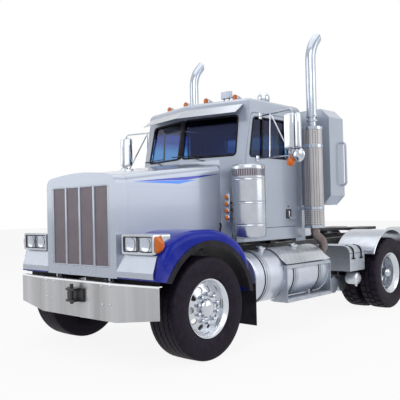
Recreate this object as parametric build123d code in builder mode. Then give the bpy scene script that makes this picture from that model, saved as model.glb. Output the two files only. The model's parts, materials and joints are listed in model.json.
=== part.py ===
from build123d import *
import os

os.makedirs("parts", exist_ok=True)

# A conventional three-axle tractor unit, in millimetres.
# X runs across with the driver's side positive, the nose points along -Y and Z is up from the ground.
# Everything is drawn from the front axle and set about the middle of the truck when it is written.

# Length of the truck: places along Y, behind the front axle
nose_y = -850
bumper_front_y = -760
shell_front_y = -710
shell_back_y = -560
hood_rear_y = 712
cowl_y = 725
cab_rear_y = 2250
cabinet_front_y = 2650
cabinet_rear_y = 3020
first_drive_y = 4050
tandem_spread = 1320
tail_y = 6000
second_drive_y = first_drive_y + tandem_spread
centre_y = (nose_y + tail_y) / 2
tail_lamp_depth = 30
frame_end_y = tail_y - tail_lamp_depth

# Running gaps and small common sizes
seat_gap = 0.3
moving_gap = 6
pin_clearance = 0.05
overrun = 40
skin = 8

# Wheels
tyre_radius = 527
tyre_width = 279
rim_radius = 300
bead_radius = 286
rim_width = 236
steer_track_x = 1025
steer_widening = 100
dual_outer_x = 1080
dual_spacing = 343
dual_inner_x = dual_outer_x - dual_spacing
axle_z = tyre_radius

# Frame
rail_outer_x = 430
rail_flange = 89
rail_wall = 9
rail_top_z = 1058
rail_depth = 268
rail_front_y = -545
rail_bottom_z = rail_top_z - rail_depth
rail_inner_x = rail_outer_x - rail_wall
member_z = rail_top_z - rail_depth / 2

# Hood and nose
shell_half_width = 609
shell_bottom_z = 861
shell_shoulder_z = 1895
shell_crown_z = 1948
hood_rear_half_width = 750
hood_rear_shoulder_z = 2040
hood_rear_crown_z = 2100
hood_edge_radius = 90
hood_bottom_z = 1120
hinge_y = -670
hinge_z = 835

# Cab
cab_half_width = 880
cab_wall = 50
pillar_flank = 90
cab_bottom_z = 1140
floor_thickness = 60
belt_z = 2100
glass_top_z = 2720
roof_top_z = 2872
windscreen_foot_y = 815
windscreen_sweep_share = 0.2313
windscreen_rake_share = 0.2075
pillar_x = cab_half_width - pillar_flank
pillar_return = 15
door_front_y = 1030
door_rear_y = 2090
door_bottom_z = 1290
door_top_z = 2690
door_top_front_y = 1154
cab_split_z = 1285
roof_split_z = 2702


def wheel_plane(centre_x, axle_y, hand=1):
    """A sketch plane through a wheel's axle: x runs outboard and y is the radius."""
    return Plane(origin=(hand * centre_x, axle_y, axle_z), x_dir=(hand, 0, 0), z_dir=(0, -hand, 0))


def wheel_axis(axle_y):
    return Axis((0, axle_y, axle_z), (1, 0, 0))


def write(piece, name):
    finished = piece.part.moved(Location((0, -centre_y, 0)))
    finished.label = name
    export_step(finished, f"parts/{name}.step")


def write_pair(piece, name):
    """Writes the driver's side piece and its mirror image as two nodes."""
    write(piece, f"{name}_left")
    with BuildPart() as other:
        mirror(piece.part, about=Plane.YZ)
    write(other, f"{name}_right")


# Tyres: a crown, two shoulders and two flat-sided walls down to the beads
bead_half_width = 105
bulge_radius = 400
shoulder_half_width = 122
shoulder_radius = 508
crown_half_width = 98


def tyre(centre_x, axle_y, widening=0):
    half_section = [
        (bead_half_width + widening / 2, bead_radius),
        (bead_half_width + widening / 2, rim_radius + seat_gap),
        ((tyre_width + widening) / 2, bulge_radius),
        (shoulder_half_width + widening / 2, shoulder_radius),
        (crown_half_width + widening / 2, tyre_radius),
    ]
    other_half = [(-along, radius) for along, radius in reversed(half_section)]
    with BuildSketch(wheel_plane(centre_x, axle_y)) as section:
        with BuildLine():
            Polyline(*half_section, *other_half, close=True)
        make_face()
    revolve(section.sketch, axis=wheel_axis(axle_y))


with BuildPart() as front_tyre:
    tyre(steer_track_x, 0, steer_widening)
write_pair(front_tyre, "tyre_front")

for order, axle_y in (("first", first_drive_y), ("second", second_drive_y)):
    with BuildPart() as drive_tyres:
        for centre_x in (dual_inner_x, dual_outer_x):
            tyre(centre_x, axle_y)
    write_pair(drive_tyres, f"tyres_{order}")

# Rims: a drop-centre barrel with a ten-hole disc and a domed hub
rim_wall = 14
drop_radius = 252
hub_bore_radius = 38
hub_radius = 105
hub_cover_radius = 84
disc_thickness = 22
hand_hole_count = 10
hand_hole_radius = 29
hand_hole_circle = 196
bead_seat_radius = bead_radius - seat_gap
hub_cover_reach = 150
front_disc_x = 80
rear_disc_x = 118
front_disc_bite = 2
front_disc_radius = drop_radius - front_disc_bite
rear_disc_radius = bead_seat_radius - rim_wall / 2


def barrel(centre_x, axle_y, widening=0):
    """The rim's barrel: flanges, bead seats and the well between them."""
    flange_x = (rim_width + widening) / 2
    seat_x = bead_half_width + widening / 2
    well_x = bead_half_width / 2
    outer = [
        (-flange_x, rim_radius),
        (-seat_x - seat_gap, rim_radius),
        (-seat_x - seat_gap, bead_seat_radius),
        (-well_x, drop_radius),
        (well_x, drop_radius),
        (seat_x + seat_gap, bead_seat_radius),
        (seat_x + seat_gap, rim_radius),
        (flange_x, rim_radius),
    ]
    inner = [
        (flange_x, bead_seat_radius - rim_wall),
        (well_x, drop_radius - rim_wall),
        (-well_x, drop_radius - rim_wall),
        (-flange_x, bead_seat_radius - rim_wall),
    ]
    with BuildSketch(wheel_plane(centre_x, axle_y)) as section:
        with BuildLine():
            Polyline(*outer, *inner, close=True)
        make_face()
    revolve(section.sketch, axis=wheel_axis(axle_y))


def disc(centre_x, axle_y, disc_x, rim_side, dish):
    """The wheel's disc from the barrel to the hub, and its ring of hand holes."""
    outline = [
        (disc_x, rim_side),
        (disc_x + dish, hub_radius),
        (disc_x + dish, hub_bore_radius),
        (disc_x + dish - disc_thickness, hub_bore_radius),
        (disc_x + dish - disc_thickness, hub_radius),
        (disc_x - disc_thickness, rim_side),
    ]
    with BuildSketch(wheel_plane(centre_x, axle_y)) as section:
        with BuildLine():
            Polyline(*outline, close=True)
        make_face()
    revolve(section.sketch, axis=wheel_axis(axle_y))
    hole_plane = Plane(origin=(centre_x + disc_x, axle_y, axle_z), x_dir=(0, 1, 0), z_dir=(1, 0, 0))
    with BuildSketch(hole_plane) as holes:
        with PolarLocations(hand_hole_circle, hand_hole_count):
            Circle(hand_hole_radius)
    extrude(holes.sketch, amount=abs(dish) + disc_thickness, both=True, mode=Mode.SUBTRACT)


def hub(centre_x, axle_y, inner_x, outer_x, bore_depth):
    """The hub and its domed cover, bored from behind for the spindle."""
    inner = inner_x - centre_x
    outer = outer_x - centre_x
    dome = hub_cover_radius / 2
    with BuildSketch(wheel_plane(centre_x, axle_y)) as section:
        with BuildLine():
            Polyline(
                (inner, hub_bore_radius),
                (inner, hub_radius),
                (outer - hub_cover_reach, hub_radius),
                (outer - hub_cover_reach, hub_cover_radius),
                (outer - dome, hub_cover_radius),
                (outer, dome),
                (outer, 0),
                (inner + bore_depth, 0),
                (inner + bore_depth, hub_bore_radius),
                close=True,
            )
        make_face()
    revolve(section.sketch, axis=wheel_axis(axle_y))


spindle_depth = 110
front_hub_inner_x = 985
front_hub_outer_x = 1205
front_dish = 34
drive_hub_inner_x = 640
drive_hub_outer_x = 1190
rear_dish = dual_spacing / 2 - rear_disc_x

with BuildPart() as front_rim:
    barrel(steer_track_x, 0, steer_widening)
    disc(steer_track_x, 0, front_disc_x, front_disc_radius, front_dish)
    hub(steer_track_x, 0, front_hub_inner_x, front_hub_outer_x, spindle_depth)
write_pair(front_rim, "rim_front")

for order, axle_y in (("first", first_drive_y), ("second", second_drive_y)):
    with BuildPart() as drive_rims:
        barrel(dual_outer_x, axle_y)
        disc(dual_outer_x, axle_y, disc_thickness - rear_disc_x, rear_disc_radius, -rear_dish)
        barrel(dual_inner_x, axle_y)
        disc(dual_inner_x, axle_y, rear_disc_x, rear_disc_radius, rear_dish)
        hub(dual_outer_x, axle_y, drive_hub_inner_x, drive_hub_outer_x, spindle_depth)
    write_pair(drive_rims, f"rims_{order}")

# Front axle: a dropped I-beam with a bored boss for each kingpin
kingpin_x = 870
kingpin_radius = 24
boss_radius = 48
boss_height = 150
beam_z = 430
beam_depth = 110
beam_width = 120
beam_web = 36
beam_flange = 24
beam_end_x = 700
ear_radius = 56

with BuildPart() as front_axle:
    with BuildSketch(Plane.YZ):
        with Locations((0, beam_z)):
            Rectangle(beam_width, beam_depth)
        with Locations((beam_width / 2, beam_z), (-beam_width / 2, beam_z)):
            Rectangle(beam_width - beam_web, beam_depth - 2 * beam_flange, mode=Mode.SUBTRACT)
    extrude(amount=beam_end_x, both=True)
    with BuildSketch(Plane.XZ):
        with BuildLine():
            Polyline(
                (beam_end_x - beam_depth, beam_z - beam_depth / 2),
                (beam_end_x, beam_z - beam_depth / 2),
                (kingpin_x - ear_radius - moving_gap, axle_z - boss_height / 2),
                (kingpin_x, axle_z - boss_height / 2),
                (kingpin_x, axle_z + boss_height / 2),
                (kingpin_x - ear_radius - moving_gap, axle_z + boss_height / 2),
                (beam_end_x, beam_z + beam_depth / 2),
                (beam_end_x - beam_depth, beam_z + beam_depth / 2),
                close=True,
            )
        make_face()
    extrude(amount=beam_web, both=True)
    with BuildSketch(Plane.XY.offset(axle_z - boss_height / 2)):
        with Locations((kingpin_x, 0)):
            Circle(boss_radius)
    extrude(amount=boss_height)
    with BuildSketch(Plane.XY.offset(axle_z - boss_height)):
        with Locations((kingpin_x, 0)):
            Circle(kingpin_radius + pin_clearance)
    extrude(amount=2 * boss_height, mode=Mode.SUBTRACT)
    mirror(about=Plane.YZ)
write(front_axle, "front_axle")

# Steering knuckle: two ears on the kingpin, a yoke outboard of the boss, a spindle and a steering arm
ear_thickness = 44
yoke_x = 985
yoke_depth = 130
spindle_radius = hub_bore_radius - pin_clearance
arm_length = 210
arm_width = 46
arm_x = 820
ear_gap = 2

with BuildPart() as knuckle:
    ear_low_z = axle_z - boss_height / 2 - ear_gap - ear_thickness
    ear_high_z = axle_z + boss_height / 2 + ear_gap
    for ear_z in (ear_low_z, ear_high_z):
        with BuildSketch(Plane.XY.offset(ear_z)):
            with Locations((kingpin_x, 0)):
                Circle(ear_radius)
            with Locations(((kingpin_x + yoke_x) / 2 - ear_gap, 0)):
                Rectangle(yoke_x - kingpin_x - 2 * ear_gap, 2 * ear_radius)
        extrude(amount=ear_thickness)
    with BuildSketch(Plane.XY.offset(ear_low_z)):
        with Locations(((kingpin_x + ear_radius + yoke_x) / 2, 0)):
            Rectangle(yoke_x - kingpin_x - ear_radius - 2 * ear_gap, yoke_depth)
    extrude(amount=ear_high_z + ear_thickness - ear_low_z)
    with BuildSketch(Plane.XY.offset(ear_low_z)):
        with Locations((kingpin_x, 0)):
            Circle(kingpin_radius)
    extrude(amount=ear_high_z + ear_thickness - ear_low_z)
    with BuildSketch(Plane.YZ.offset(yoke_x - overrun)):
        with Locations((0, axle_z)):
            Circle(spindle_radius)
    extrude(amount=overrun + spindle_depth - ear_gap)
    with BuildSketch(Plane.XY.offset(ear_low_z)):
        with BuildLine():
            Polyline(
                (kingpin_x - ear_radius / 2, 0),
                (arm_x - arm_width / 2, arm_length),
                (arm_x + arm_width / 2, arm_length),
                (kingpin_x + ear_radius / 2, 0),
                close=True,
            )
        make_face()
    extrude(amount=ear_thickness / 2)
write_pair(knuckle, "knuckle")

# Drive axles: a banjo housing between the duals, and the propeller shafts ahead of each
housing_radius = 76
bowl_radius = 215
bowl_width = 260
nose_radius = 95
nose_length = 300
shaft_radius = 52
brake_plate_x = drive_hub_inner_x - 2 * moving_gap
gearbox_rear_y = 1560
gearbox_z = 760
first_nose_y = first_drive_y - nose_length
second_nose_y = second_drive_y - nose_length
nose_z = axle_z + nose_radius / 2

with BuildPart() as drive_axles:
    for axle_y in (first_drive_y, second_drive_y):
        with BuildSketch(Plane.YZ):
            with Locations((axle_y, axle_z)):
                Circle(housing_radius)
        extrude(amount=brake_plate_x, both=True)
        with BuildSketch(Plane.YZ):
            with Locations((axle_y, axle_z)):
                Circle(bowl_radius)
        extrude(amount=bowl_width / 2, both=True)
        with BuildSketch(Plane.XZ.offset(-axle_y)):
            with Locations((0, nose_z)):
                Circle(nose_radius)
        extrude(amount=nose_length)
        with BuildSketch(Plane.YZ.offset(-brake_plate_x - spindle_depth)):
            with Locations((axle_y, axle_z)):
                Circle(spindle_radius)
        extrude(amount=2 * (brake_plate_x + spindle_depth))
    with BuildSketch(Plane.XZ.offset(-first_drive_y)):
        with Locations((0, nose_z)):
            Circle(shaft_radius)
    extrude(amount=first_drive_y - second_nose_y)
write(drive_axles, "drive_axles")

# Engine, gearbox and propeller shafts
engine_half_width = 330
engine_front_y = -400
engine_rear_y = 690
engine_bottom_z = 640
engine_top_z = 1720
gearbox_radius = 190
bell_radius = 240
radiator_half_width = 480
radiator_front_y = -530
radiator_depth = 90
radiator_bottom_z = 1072
radiator_top_z = 1810
engine_shoulder = 90
fan_depth = 30
fan_radius = 345
fan_rim = 30
mount_length = 140
mount_depth = 90
mount_y = 150

with BuildPart() as powertrain:
    with BuildSketch(Plane.XZ.offset(-engine_front_y)):
        with Locations((0, (engine_bottom_z + engine_top_z) / 2)):
            Rectangle(2 * engine_half_width, engine_top_z - engine_bottom_z)
    extrude(amount=engine_front_y - engine_rear_y)
    chamfer(powertrain.edges().filter_by(Axis.Y), engine_shoulder)
    with BuildSketch(Plane.XZ.offset(-engine_rear_y)):
        with Locations((0, gearbox_z)):
            Circle(bell_radius)
    with BuildSketch(Plane.XZ.offset(-gearbox_rear_y)):
        with Locations((0, gearbox_z)):
            Circle(gearbox_radius)
    loft()
    with BuildSketch(Plane.XZ.offset(-radiator_front_y)):
        with Locations((0, (radiator_bottom_z + radiator_top_z) / 2)):
            Rectangle(2 * radiator_half_width, radiator_top_z - radiator_bottom_z)
    extrude(amount=-radiator_depth)
    fan_y = radiator_front_y + radiator_depth
    with BuildSketch(Plane.XZ.offset(-fan_y)):
        with Locations((0, (radiator_bottom_z + radiator_top_z) / 2)):
            Circle(fan_radius)
            Circle(fan_radius - fan_rim, mode=Mode.SUBTRACT)
    extrude(amount=-fan_depth)
    with BuildSketch(Plane.XZ.offset(-fan_y)):
        with Locations((0, (radiator_bottom_z + radiator_top_z) / 2)):
            Circle(shaft_radius)
    extrude(amount=fan_y - engine_front_y)
    with BuildSketch(Plane.YZ.offset(seat_gap - rail_inner_x)):
        with Locations((mount_y, member_z)):
            Rectangle(mount_length, mount_depth)
    extrude(amount=2 * (rail_inner_x - seat_gap))
    shaft_run = (0, first_nose_y - gearbox_rear_y, nose_z - gearbox_z)
    with BuildSketch(Plane(origin=(0, gearbox_rear_y, gearbox_z), x_dir=(1, 0, 0), z_dir=shaft_run)):
        Circle(shaft_radius)
    extrude(amount=Vector(*shaft_run).length)
    split(bisect_by=Plane.XZ.offset(seat_gap - first_nose_y), keep=Keep.TOP)
write(powertrain, "powertrain")

# Frame: two C-section rails and the members between them
member_depth = 180
member_width = 120
member_places_y = (-535, 1650, 2300, 3000, 3480, 4710, frame_end_y - member_width)
cab_mount_size = 110
cab_mount_places_y = (850, 2150)
hinge_arm_x = 400
hinge_arm_width = 30
hinge_pin_radius = 14
hinge_ear_x = 452
hinge_ear_width = 24
hinge_ear_radius = 20

with BuildPart() as frame_rails:
    with BuildSketch(Plane.XZ.offset(-rail_front_y)):
        with Locations((rail_outer_x - rail_flange / 2, member_z)):
            Rectangle(rail_flange, rail_depth)
        with Locations((rail_inner_x - rail_flange / 2, member_z)):
            Rectangle(rail_flange, rail_depth - 2 * rail_wall, mode=Mode.SUBTRACT)
    extrude(amount=rail_front_y - frame_end_y)
    mirror(about=Plane.YZ)
write(frame_rails, "frame_rails")

with BuildPart() as crossmembers:
    member_half = rail_inner_x - seat_gap
    for member_y in member_places_y:
        with BuildSketch(Plane.YZ.offset(-member_half)):
            with Locations((member_y + member_width / 2, member_z)):
                Rectangle(member_width, member_depth)
                Rectangle(member_width - 2 * rail_wall, member_depth - 2 * rail_wall, mode=Mode.SUBTRACT)
        extrude(amount=2 * member_half)
    for hand in (1, -1):
        with BuildSketch(Plane.YZ.offset(hand * hinge_arm_x)):
            with BuildLine():
                Polyline(
                    (hinge_y, hinge_z + hinge_ear_radius),
                    (rail_front_y - seat_gap, hinge_z + hinge_ear_radius),
                    (rail_front_y - seat_gap, rail_bottom_z),
                    (hinge_y, hinge_z - hinge_ear_radius),
                    close=True,
                )
            make_face()
            with Locations((hinge_y, hinge_z)):
                Circle(hinge_ear_radius)
        extrude(amount=hinge_arm_width / 2, both=True)
        with BuildSketch(Plane.YZ.offset(hand * hinge_arm_x)):
            with Locations((hinge_y, hinge_z)):
                Circle(hinge_pin_radius)
        extrude(amount=hand * (hinge_ear_x + hinge_ear_width - hinge_arm_x))
    for mount_y in cab_mount_places_y:
        with BuildSketch(Plane.XY.offset(rail_top_z)):
            with Locations((rail_outer_x - rail_flange / 2, mount_y), (rail_flange / 2 - rail_outer_x, mount_y)):
                Rectangle(rail_flange, cab_mount_size)
        extrude(amount=cab_bottom_z - rail_top_z - seat_gap)
write(crossmembers, "crossmembers")

# Bumper: a flat centre with swept ends, a tapered lower edge and a rolled top
bumper_half_width = 1190
bumper_flat_x = 645
bumper_sweep = 70
bumper_top_z = 818
bumper_low_z = 435
bumper_end_low_z = 505
bumper_thickness = 10
bumper_roll = 34
bracket_x = 330
bracket_width = 60

with BuildPart() as bumper:
    back_flat_y = bumper_front_y + bumper_thickness
    back_end_y = back_flat_y + bumper_sweep
    with BuildSketch(Plane.XY.offset(bumper_low_z)):
        with BuildLine():
            Polyline(
                (-bumper_half_width, bumper_front_y + bumper_sweep),
                (-bumper_flat_x, bumper_front_y),
                (bumper_flat_x, bumper_front_y),
                (bumper_half_width, bumper_front_y + bumper_sweep),
                (bumper_half_width, back_end_y),
                (bumper_flat_x, back_flat_y),
                (-bumper_flat_x, back_flat_y),
                (-bumper_half_width, back_end_y),
                close=True,
            )
        make_face()
    extrude(amount=bumper_top_z - bumper_low_z)
    with BuildSketch(Plane.XY.offset(bumper_top_z - bumper_thickness)):
        with BuildLine():
            Polyline(
                (-bumper_half_width, bumper_front_y + bumper_sweep),
                (-bumper_flat_x, bumper_front_y),
                (bumper_flat_x, bumper_front_y),
                (bumper_half_width, bumper_front_y + bumper_sweep),
                (bumper_half_width, back_end_y + bumper_roll),
                (bumper_flat_x, back_flat_y + bumper_roll),
                (-bumper_flat_x, back_flat_y + bumper_roll),
                (-bumper_half_width, back_end_y + bumper_roll),
                close=True,
            )
        make_face()
    extrude(amount=bumper_thickness)
    with BuildSketch(Plane.XZ.offset(-bumper_front_y + overrun)):
        for hand in (1, -1):
            with BuildLine():
                Polyline(
                    (hand * bumper_flat_x, bumper_low_z),
                    (hand * (bumper_half_width + overrun), bumper_end_low_z),
                    (hand * (bumper_half_width + overrun), bumper_low_z - overrun),
                    (hand * bumper_flat_x, bumper_low_z - overrun),
                    close=True,
                )
            make_face()
    extrude(amount=-bumper_sweep - 4 * overrun, mode=Mode.SUBTRACT)
    for hand in (1, -1):
        with BuildSketch(Plane.XY.offset(rail_bottom_z - member_width)):
            with Locations((hand * bracket_x, (back_flat_y + rail_front_y + bracket_width) / 2)):
                Rectangle(bracket_width, rail_front_y + bracket_width - back_flat_y)
        extrude(amount=member_width - seat_gap)
write(bumper, "bumper")

# Towing hitch: a boxed jaw on the bumper's face with an upright pin
hitch_width = 280
hitch_low_z = 600
hitch_high_z = 740
hitch_depth = bumper_front_y - nose_y
hitch_pin_radius = 19
hitch_plate = 22
hitch_front_y = bumper_front_y

# Radiator shell: a deep rounded surround with a crowned top and a chin under the grille
grille_half_width = 500
grille_bottom_z = 964
grille_top_z = 1804
shell_corner_radius = 95
grille_corner_radius = 30
shell_plate = 12

with BuildPart() as radiator_shell:
    with BuildSketch(Plane.XZ.offset(-shell_front_y)):
        with BuildLine():
            Line((-shell_half_width, shell_bottom_z), (shell_half_width, shell_bottom_z))
            Line((shell_half_width, shell_bottom_z), (shell_half_width, shell_shoulder_z))
            ThreePointArc(
                (shell_half_width, shell_shoulder_z), (0, shell_crown_z), (-shell_half_width, shell_shoulder_z)
            )
            Line((-shell_half_width, shell_shoulder_z), (-shell_half_width, shell_bottom_z))
        outline = make_face()
        fillet(outline.vertices().group_by(Axis.Y)[-1], shell_corner_radius)
    extrude(amount=shell_front_y - shell_back_y + seat_gap)
    with BuildSketch(Plane.XZ.offset(-shell_front_y - shell_plate)):
        inner_half = shell_half_width - shell_plate
        with BuildLine():
            Line((-inner_half, shell_bottom_z + shell_plate), (inner_half, shell_bottom_z + shell_plate))
            Line((inner_half, shell_bottom_z + shell_plate), (inner_half, shell_shoulder_z - shell_plate))
            ThreePointArc(
                (inner_half, shell_shoulder_z - shell_plate),
                (0, shell_crown_z - shell_plate),
                (-inner_half, shell_shoulder_z - shell_plate),
            )
            Line((-inner_half, shell_shoulder_z - shell_plate), (-inner_half, shell_bottom_z + shell_plate))
        outline = make_face()
        fillet(outline.vertices().group_by(Axis.Y)[-1], shell_corner_radius - shell_plate)
    extrude(amount=shell_front_y - shell_back_y, mode=Mode.SUBTRACT)
    with BuildSketch(Plane.XZ.offset(-shell_front_y)):
        with Locations((0, (grille_bottom_z + grille_top_z) / 2)):
            RectangleRounded(2 * grille_half_width, grille_top_z - grille_bottom_z, grille_corner_radius)
    extrude(amount=shell_plate, both=True, mode=Mode.SUBTRACT)
    for hand in (1, -1):
        ear_x = hand * (hinge_ear_x + hinge_ear_width / 2)
        with BuildSketch(Plane.YZ.offset(ear_x)):
            with Locations((hinge_y, hinge_z)):
                Circle(hinge_ear_radius)
            with Locations((hinge_y, (hinge_z + shell_bottom_z + shell_plate) / 2)):
                Rectangle(2 * hinge_ear_radius, shell_bottom_z + shell_plate - hinge_z)
        extrude(amount=hinge_ear_width / 2, both=True)
        with BuildSketch(Plane.YZ.offset(ear_x)):
            with Locations((hinge_y, hinge_z)):
                Circle(hinge_pin_radius + pin_clearance)
        extrude(amount=hinge_ear_width, both=True, mode=Mode.SUBTRACT)
write(radiator_shell, "radiator_shell")

# Grille: a rim and three upright bars standing in front of four recessed screens
grille_rim = 26
grille_bar = 22
grille_depth = 34
screen_thickness = 4
panel_count = 4

with BuildPart() as grille:
    grille_mid_z = (grille_bottom_z + grille_top_z) / 2
    fit_width = 2 * (grille_half_width - seat_gap)
    fit_height = grille_top_z - grille_bottom_z - 2 * seat_gap
    with BuildSketch(Plane.XZ.offset(-shell_front_y)):
        with Locations((0, grille_mid_z)):
            RectangleRounded(fit_width, fit_height, grille_corner_radius)
    extrude(amount=-grille_depth)
    pitch = (fit_width - grille_rim) / panel_count
    with BuildSketch(Plane.XZ.offset(-shell_front_y)):
        with Locations((0, grille_mid_z)):
            with GridLocations(pitch, fit_height, panel_count, 1):
                Rectangle(pitch - grille_bar, fit_height - 2 * grille_rim)
    extrude(amount=screen_thickness - grille_depth, mode=Mode.SUBTRACT)
write(grille, "grille")


# Hood: one crowned skin that widens and rises from the shell to the cowl
def hood_outline(half_width, shoulder_z, crown_z, bottom_z, corner_radius):
    """The hood's cross-section: two upright sides under a crowned top."""
    with BuildSketch() as section:
        with BuildLine():
            Line((-half_width, bottom_z), (half_width, bottom_z))
            Line((half_width, bottom_z), (half_width, shoulder_z))
            ThreePointArc((half_width, shoulder_z), (0, crown_z), (-half_width, shoulder_z))
            Line((-half_width, shoulder_z), (-half_width, bottom_z))
        outline = make_face()
        fillet(outline.vertices().group_by(Axis.Y)[-1], corner_radius)
    return section.sketch


def hood_form(inset, bottom_z):
    """The hood's solid form between the shell and the cowl, drawn in by an inset."""
    reach = hood_rear_y - shell_back_y
    sections = []
    for share_back in (0, 1):
        station_y = shell_back_y + share_back * reach
        half_width = shell_half_width + share_back * (hood_rear_half_width - shell_half_width)
        shoulder_z = shell_shoulder_z + share_back * (hood_rear_shoulder_z - shell_shoulder_z)
        crown_z = shell_crown_z + share_back * (hood_rear_crown_z - shell_crown_z)
        outline = hood_outline(
            half_width - inset, shoulder_z - inset, crown_z - inset, bottom_z, hood_edge_radius - inset
        )
        sections.append(Plane.XZ.offset(-station_y) * outline)
    return loft(sections, ruled=True, mode=Mode.PRIVATE)


with BuildPart() as hood:
    add(hood_form(0, hood_bottom_z))
    add(hood_form(skin, hood_bottom_z - overrun), mode=Mode.SUBTRACT)
write(hood, "hood")

with BuildPart() as hood_room:
    add(hood_form(-seat_gap, axle_z))
    with BuildSketch(Plane.XY.offset(axle_z)):
        with Locations((0, (shell_front_y + shell_back_y) / 2)):
            Rectangle(2 * (shell_half_width + seat_gap), shell_back_y - shell_front_y + seat_gap)
    extrude(amount=shell_crown_z - axle_z)

# Front fenders: an arched skin over each steered wheel with a rolled outer edge
fender_outer_x = 1222
fender_inner_x = 560
arch_radius = 688
fender_front_y = -700
fender_front_z = 862
fender_brow_y = -632
fender_brow_z = 1190
fender_crown_z = 1325
fender_crown_front_y = -280
fender_crown_back_y = 220
fender_tail_top_y = 620
fender_tail_top_z = 1100
fender_tail_y = 690
fender_tail_z = 622
fender_brow_bend = 300
fender_front_bend = 700
fender_back_bend = 800
fender_tail_bend = 450
fender_roll = 72


def fender_side(inset):
    """The fender's outline from the side: over the wheel from its front foot to its tail."""
    with BuildSketch() as section:
        with BuildLine():
            top = FilletPolyline(
                (fender_front_y + inset, fender_front_z - overrun * (inset > 0)),
                (fender_brow_y + inset, fender_brow_z),
                (fender_crown_front_y, fender_crown_z - inset),
                (fender_crown_back_y, fender_crown_z - inset),
                (fender_tail_top_y - inset, fender_tail_top_z),
                (fender_tail_y - inset, fender_tail_z - overrun * (inset > 0)),
                radius=[fender_brow_bend, fender_front_bend, fender_back_bend, fender_tail_bend],
            )
            Line(top @ 1, top @ 0)
        make_face()
    return section.sketch


def fender_form(inset):
    """The solid fender shape for one side, with its outer top edge rounded over."""
    with BuildPart() as form:
        extrude(Plane.YZ.offset(fender_inner_x) * fender_side(inset), fender_outer_x - inset - fender_inner_x)
        edge_x = fender_outer_x - inset
        outer_edges = form.edges().filter_by_position(Axis.X, edge_x - seat_gap, edge_x + seat_gap)
        top_edges = outer_edges.filter_by(lambda edge: edge.length < arch_radius)
        fillet(top_edges, fender_roll - inset)
    return form.part


with BuildPart() as front_fenders:
    add(fender_form(0))
    add(fender_form(skin), mode=Mode.SUBTRACT)
    with BuildSketch(Plane.YZ.offset(fender_inner_x)):
        with Locations((0, axle_z)):
            Circle(arch_radius)
    extrude(amount=fender_outer_x - fender_inner_x + overrun, mode=Mode.SUBTRACT)
    add(hood_room.part, mode=Mode.SUBTRACT)
    mirror(about=Plane.YZ)
write(front_fenders, "front_fenders")

# Rubber lips inside the fender arches
lip_inner_x = 1160
lip_outer_x = 1230
lip_depth = 58

with BuildPart() as fender_lips:
    with BuildSketch(Plane.YZ.offset(lip_inner_x)):
        with Locations((0, axle_z)):
            Circle(arch_radius - seat_gap)
            Circle(arch_radius - lip_depth, mode=Mode.SUBTRACT)
        with BuildLine():
            Polyline(
                (fender_front_y - overrun, fender_front_z),
                (fender_tail_y + overrun, fender_tail_z),
                (fender_tail_y + overrun, axle_z - arch_radius - overrun),
                (fender_front_y - overrun, axle_z - arch_radius - overrun),
                close=True,
            )
        make_face(mode=Mode.SUBTRACT)
    extrude(amount=lip_outer_x - lip_inner_x)
    mirror(about=Plane.YZ)
write(fender_lips, "fender_lips")

# Pale guard plates standing against the front feet of the fenders
guard_outer_x = 1140
guard_thickness = 6
guard_low_z = 878
guard_high_z = 1100
guard_fold_z = 935
guard_fold_reach = 16
foot_slope_share = (fender_brow_y - fender_front_y) / (fender_brow_z - fender_front_z)

with BuildPart() as fender_guards:
    low_y = fender_front_y + foot_slope_share * (guard_low_z - fender_front_z) - seat_gap
    high_y = fender_front_y + foot_slope_share * (guard_high_z - fender_front_z) - seat_gap
    fold_y = low_y - guard_fold_reach
    with BuildSketch(Plane.YZ.offset(shell_half_width + seat_gap)):
        with BuildLine():
            Polyline(
                (low_y, guard_low_z),
                (fold_y, guard_low_z),
                (fold_y, guard_fold_z),
                (high_y - guard_thickness, guard_high_z),
                (high_y, guard_high_z),
                (fold_y + guard_thickness, guard_fold_z),
                (fold_y + guard_thickness, guard_low_z + guard_thickness),
                (low_y, guard_low_z + guard_thickness),
                close=True,
            )
        make_face()
    extrude(amount=guard_outer_x - shell_half_width)
    mirror(about=Plane.YZ)
write(fender_guards, "fender_guards")

# Headlamp pods: a chromed box on the fender's brow with a recess for twin lamps
pod_standoff = 60
pod_outer_x = 1132
pod_front_y = -690
pod_back_y = -470
pod_low_z = 1106
pod_high_z = 1302
pod_rounding = 22
pod_rim = 22
lens_recess = 20
lens_thickness = 14
lens_split = 14
turn_lamp_depth = 100
turn_lamp_height = 172
turn_lamp_taper = 20
turn_lamp_length = 84

with BuildPart() as headlamps:
    pod_inner_x = shell_half_width + pod_standoff
    pod_mid_x = (pod_inner_x + pod_outer_x) / 2
    pod_mid_z = (pod_low_z + pod_high_z) / 2
    with BuildSketch(Plane.XZ.offset(-pod_front_y)):
        with Locations((pod_mid_x, pod_mid_z)):
            Rectangle(pod_outer_x - pod_inner_x, pod_high_z - pod_low_z)
    extrude(amount=pod_front_y - pod_back_y)
    fillet(headlamps.edges().filter_by(Axis.Y), pod_rounding)
    with BuildSketch(Plane.XZ.offset(-pod_front_y)):
        with Locations((pod_mid_x, pod_mid_z)):
            RectangleRounded(
                pod_outer_x - pod_inner_x - 2 * pod_rim, pod_high_z - pod_low_z - 2 * pod_rim, pod_rounding / 2
            )
    extrude(amount=-lens_recess, mode=Mode.SUBTRACT)
    add(fender_form(-seat_gap), mode=Mode.SUBTRACT)
    add(hood_room.part, mode=Mode.SUBTRACT)
    mirror(about=Plane.YZ)
write(headlamps, "headlamps")

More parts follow.
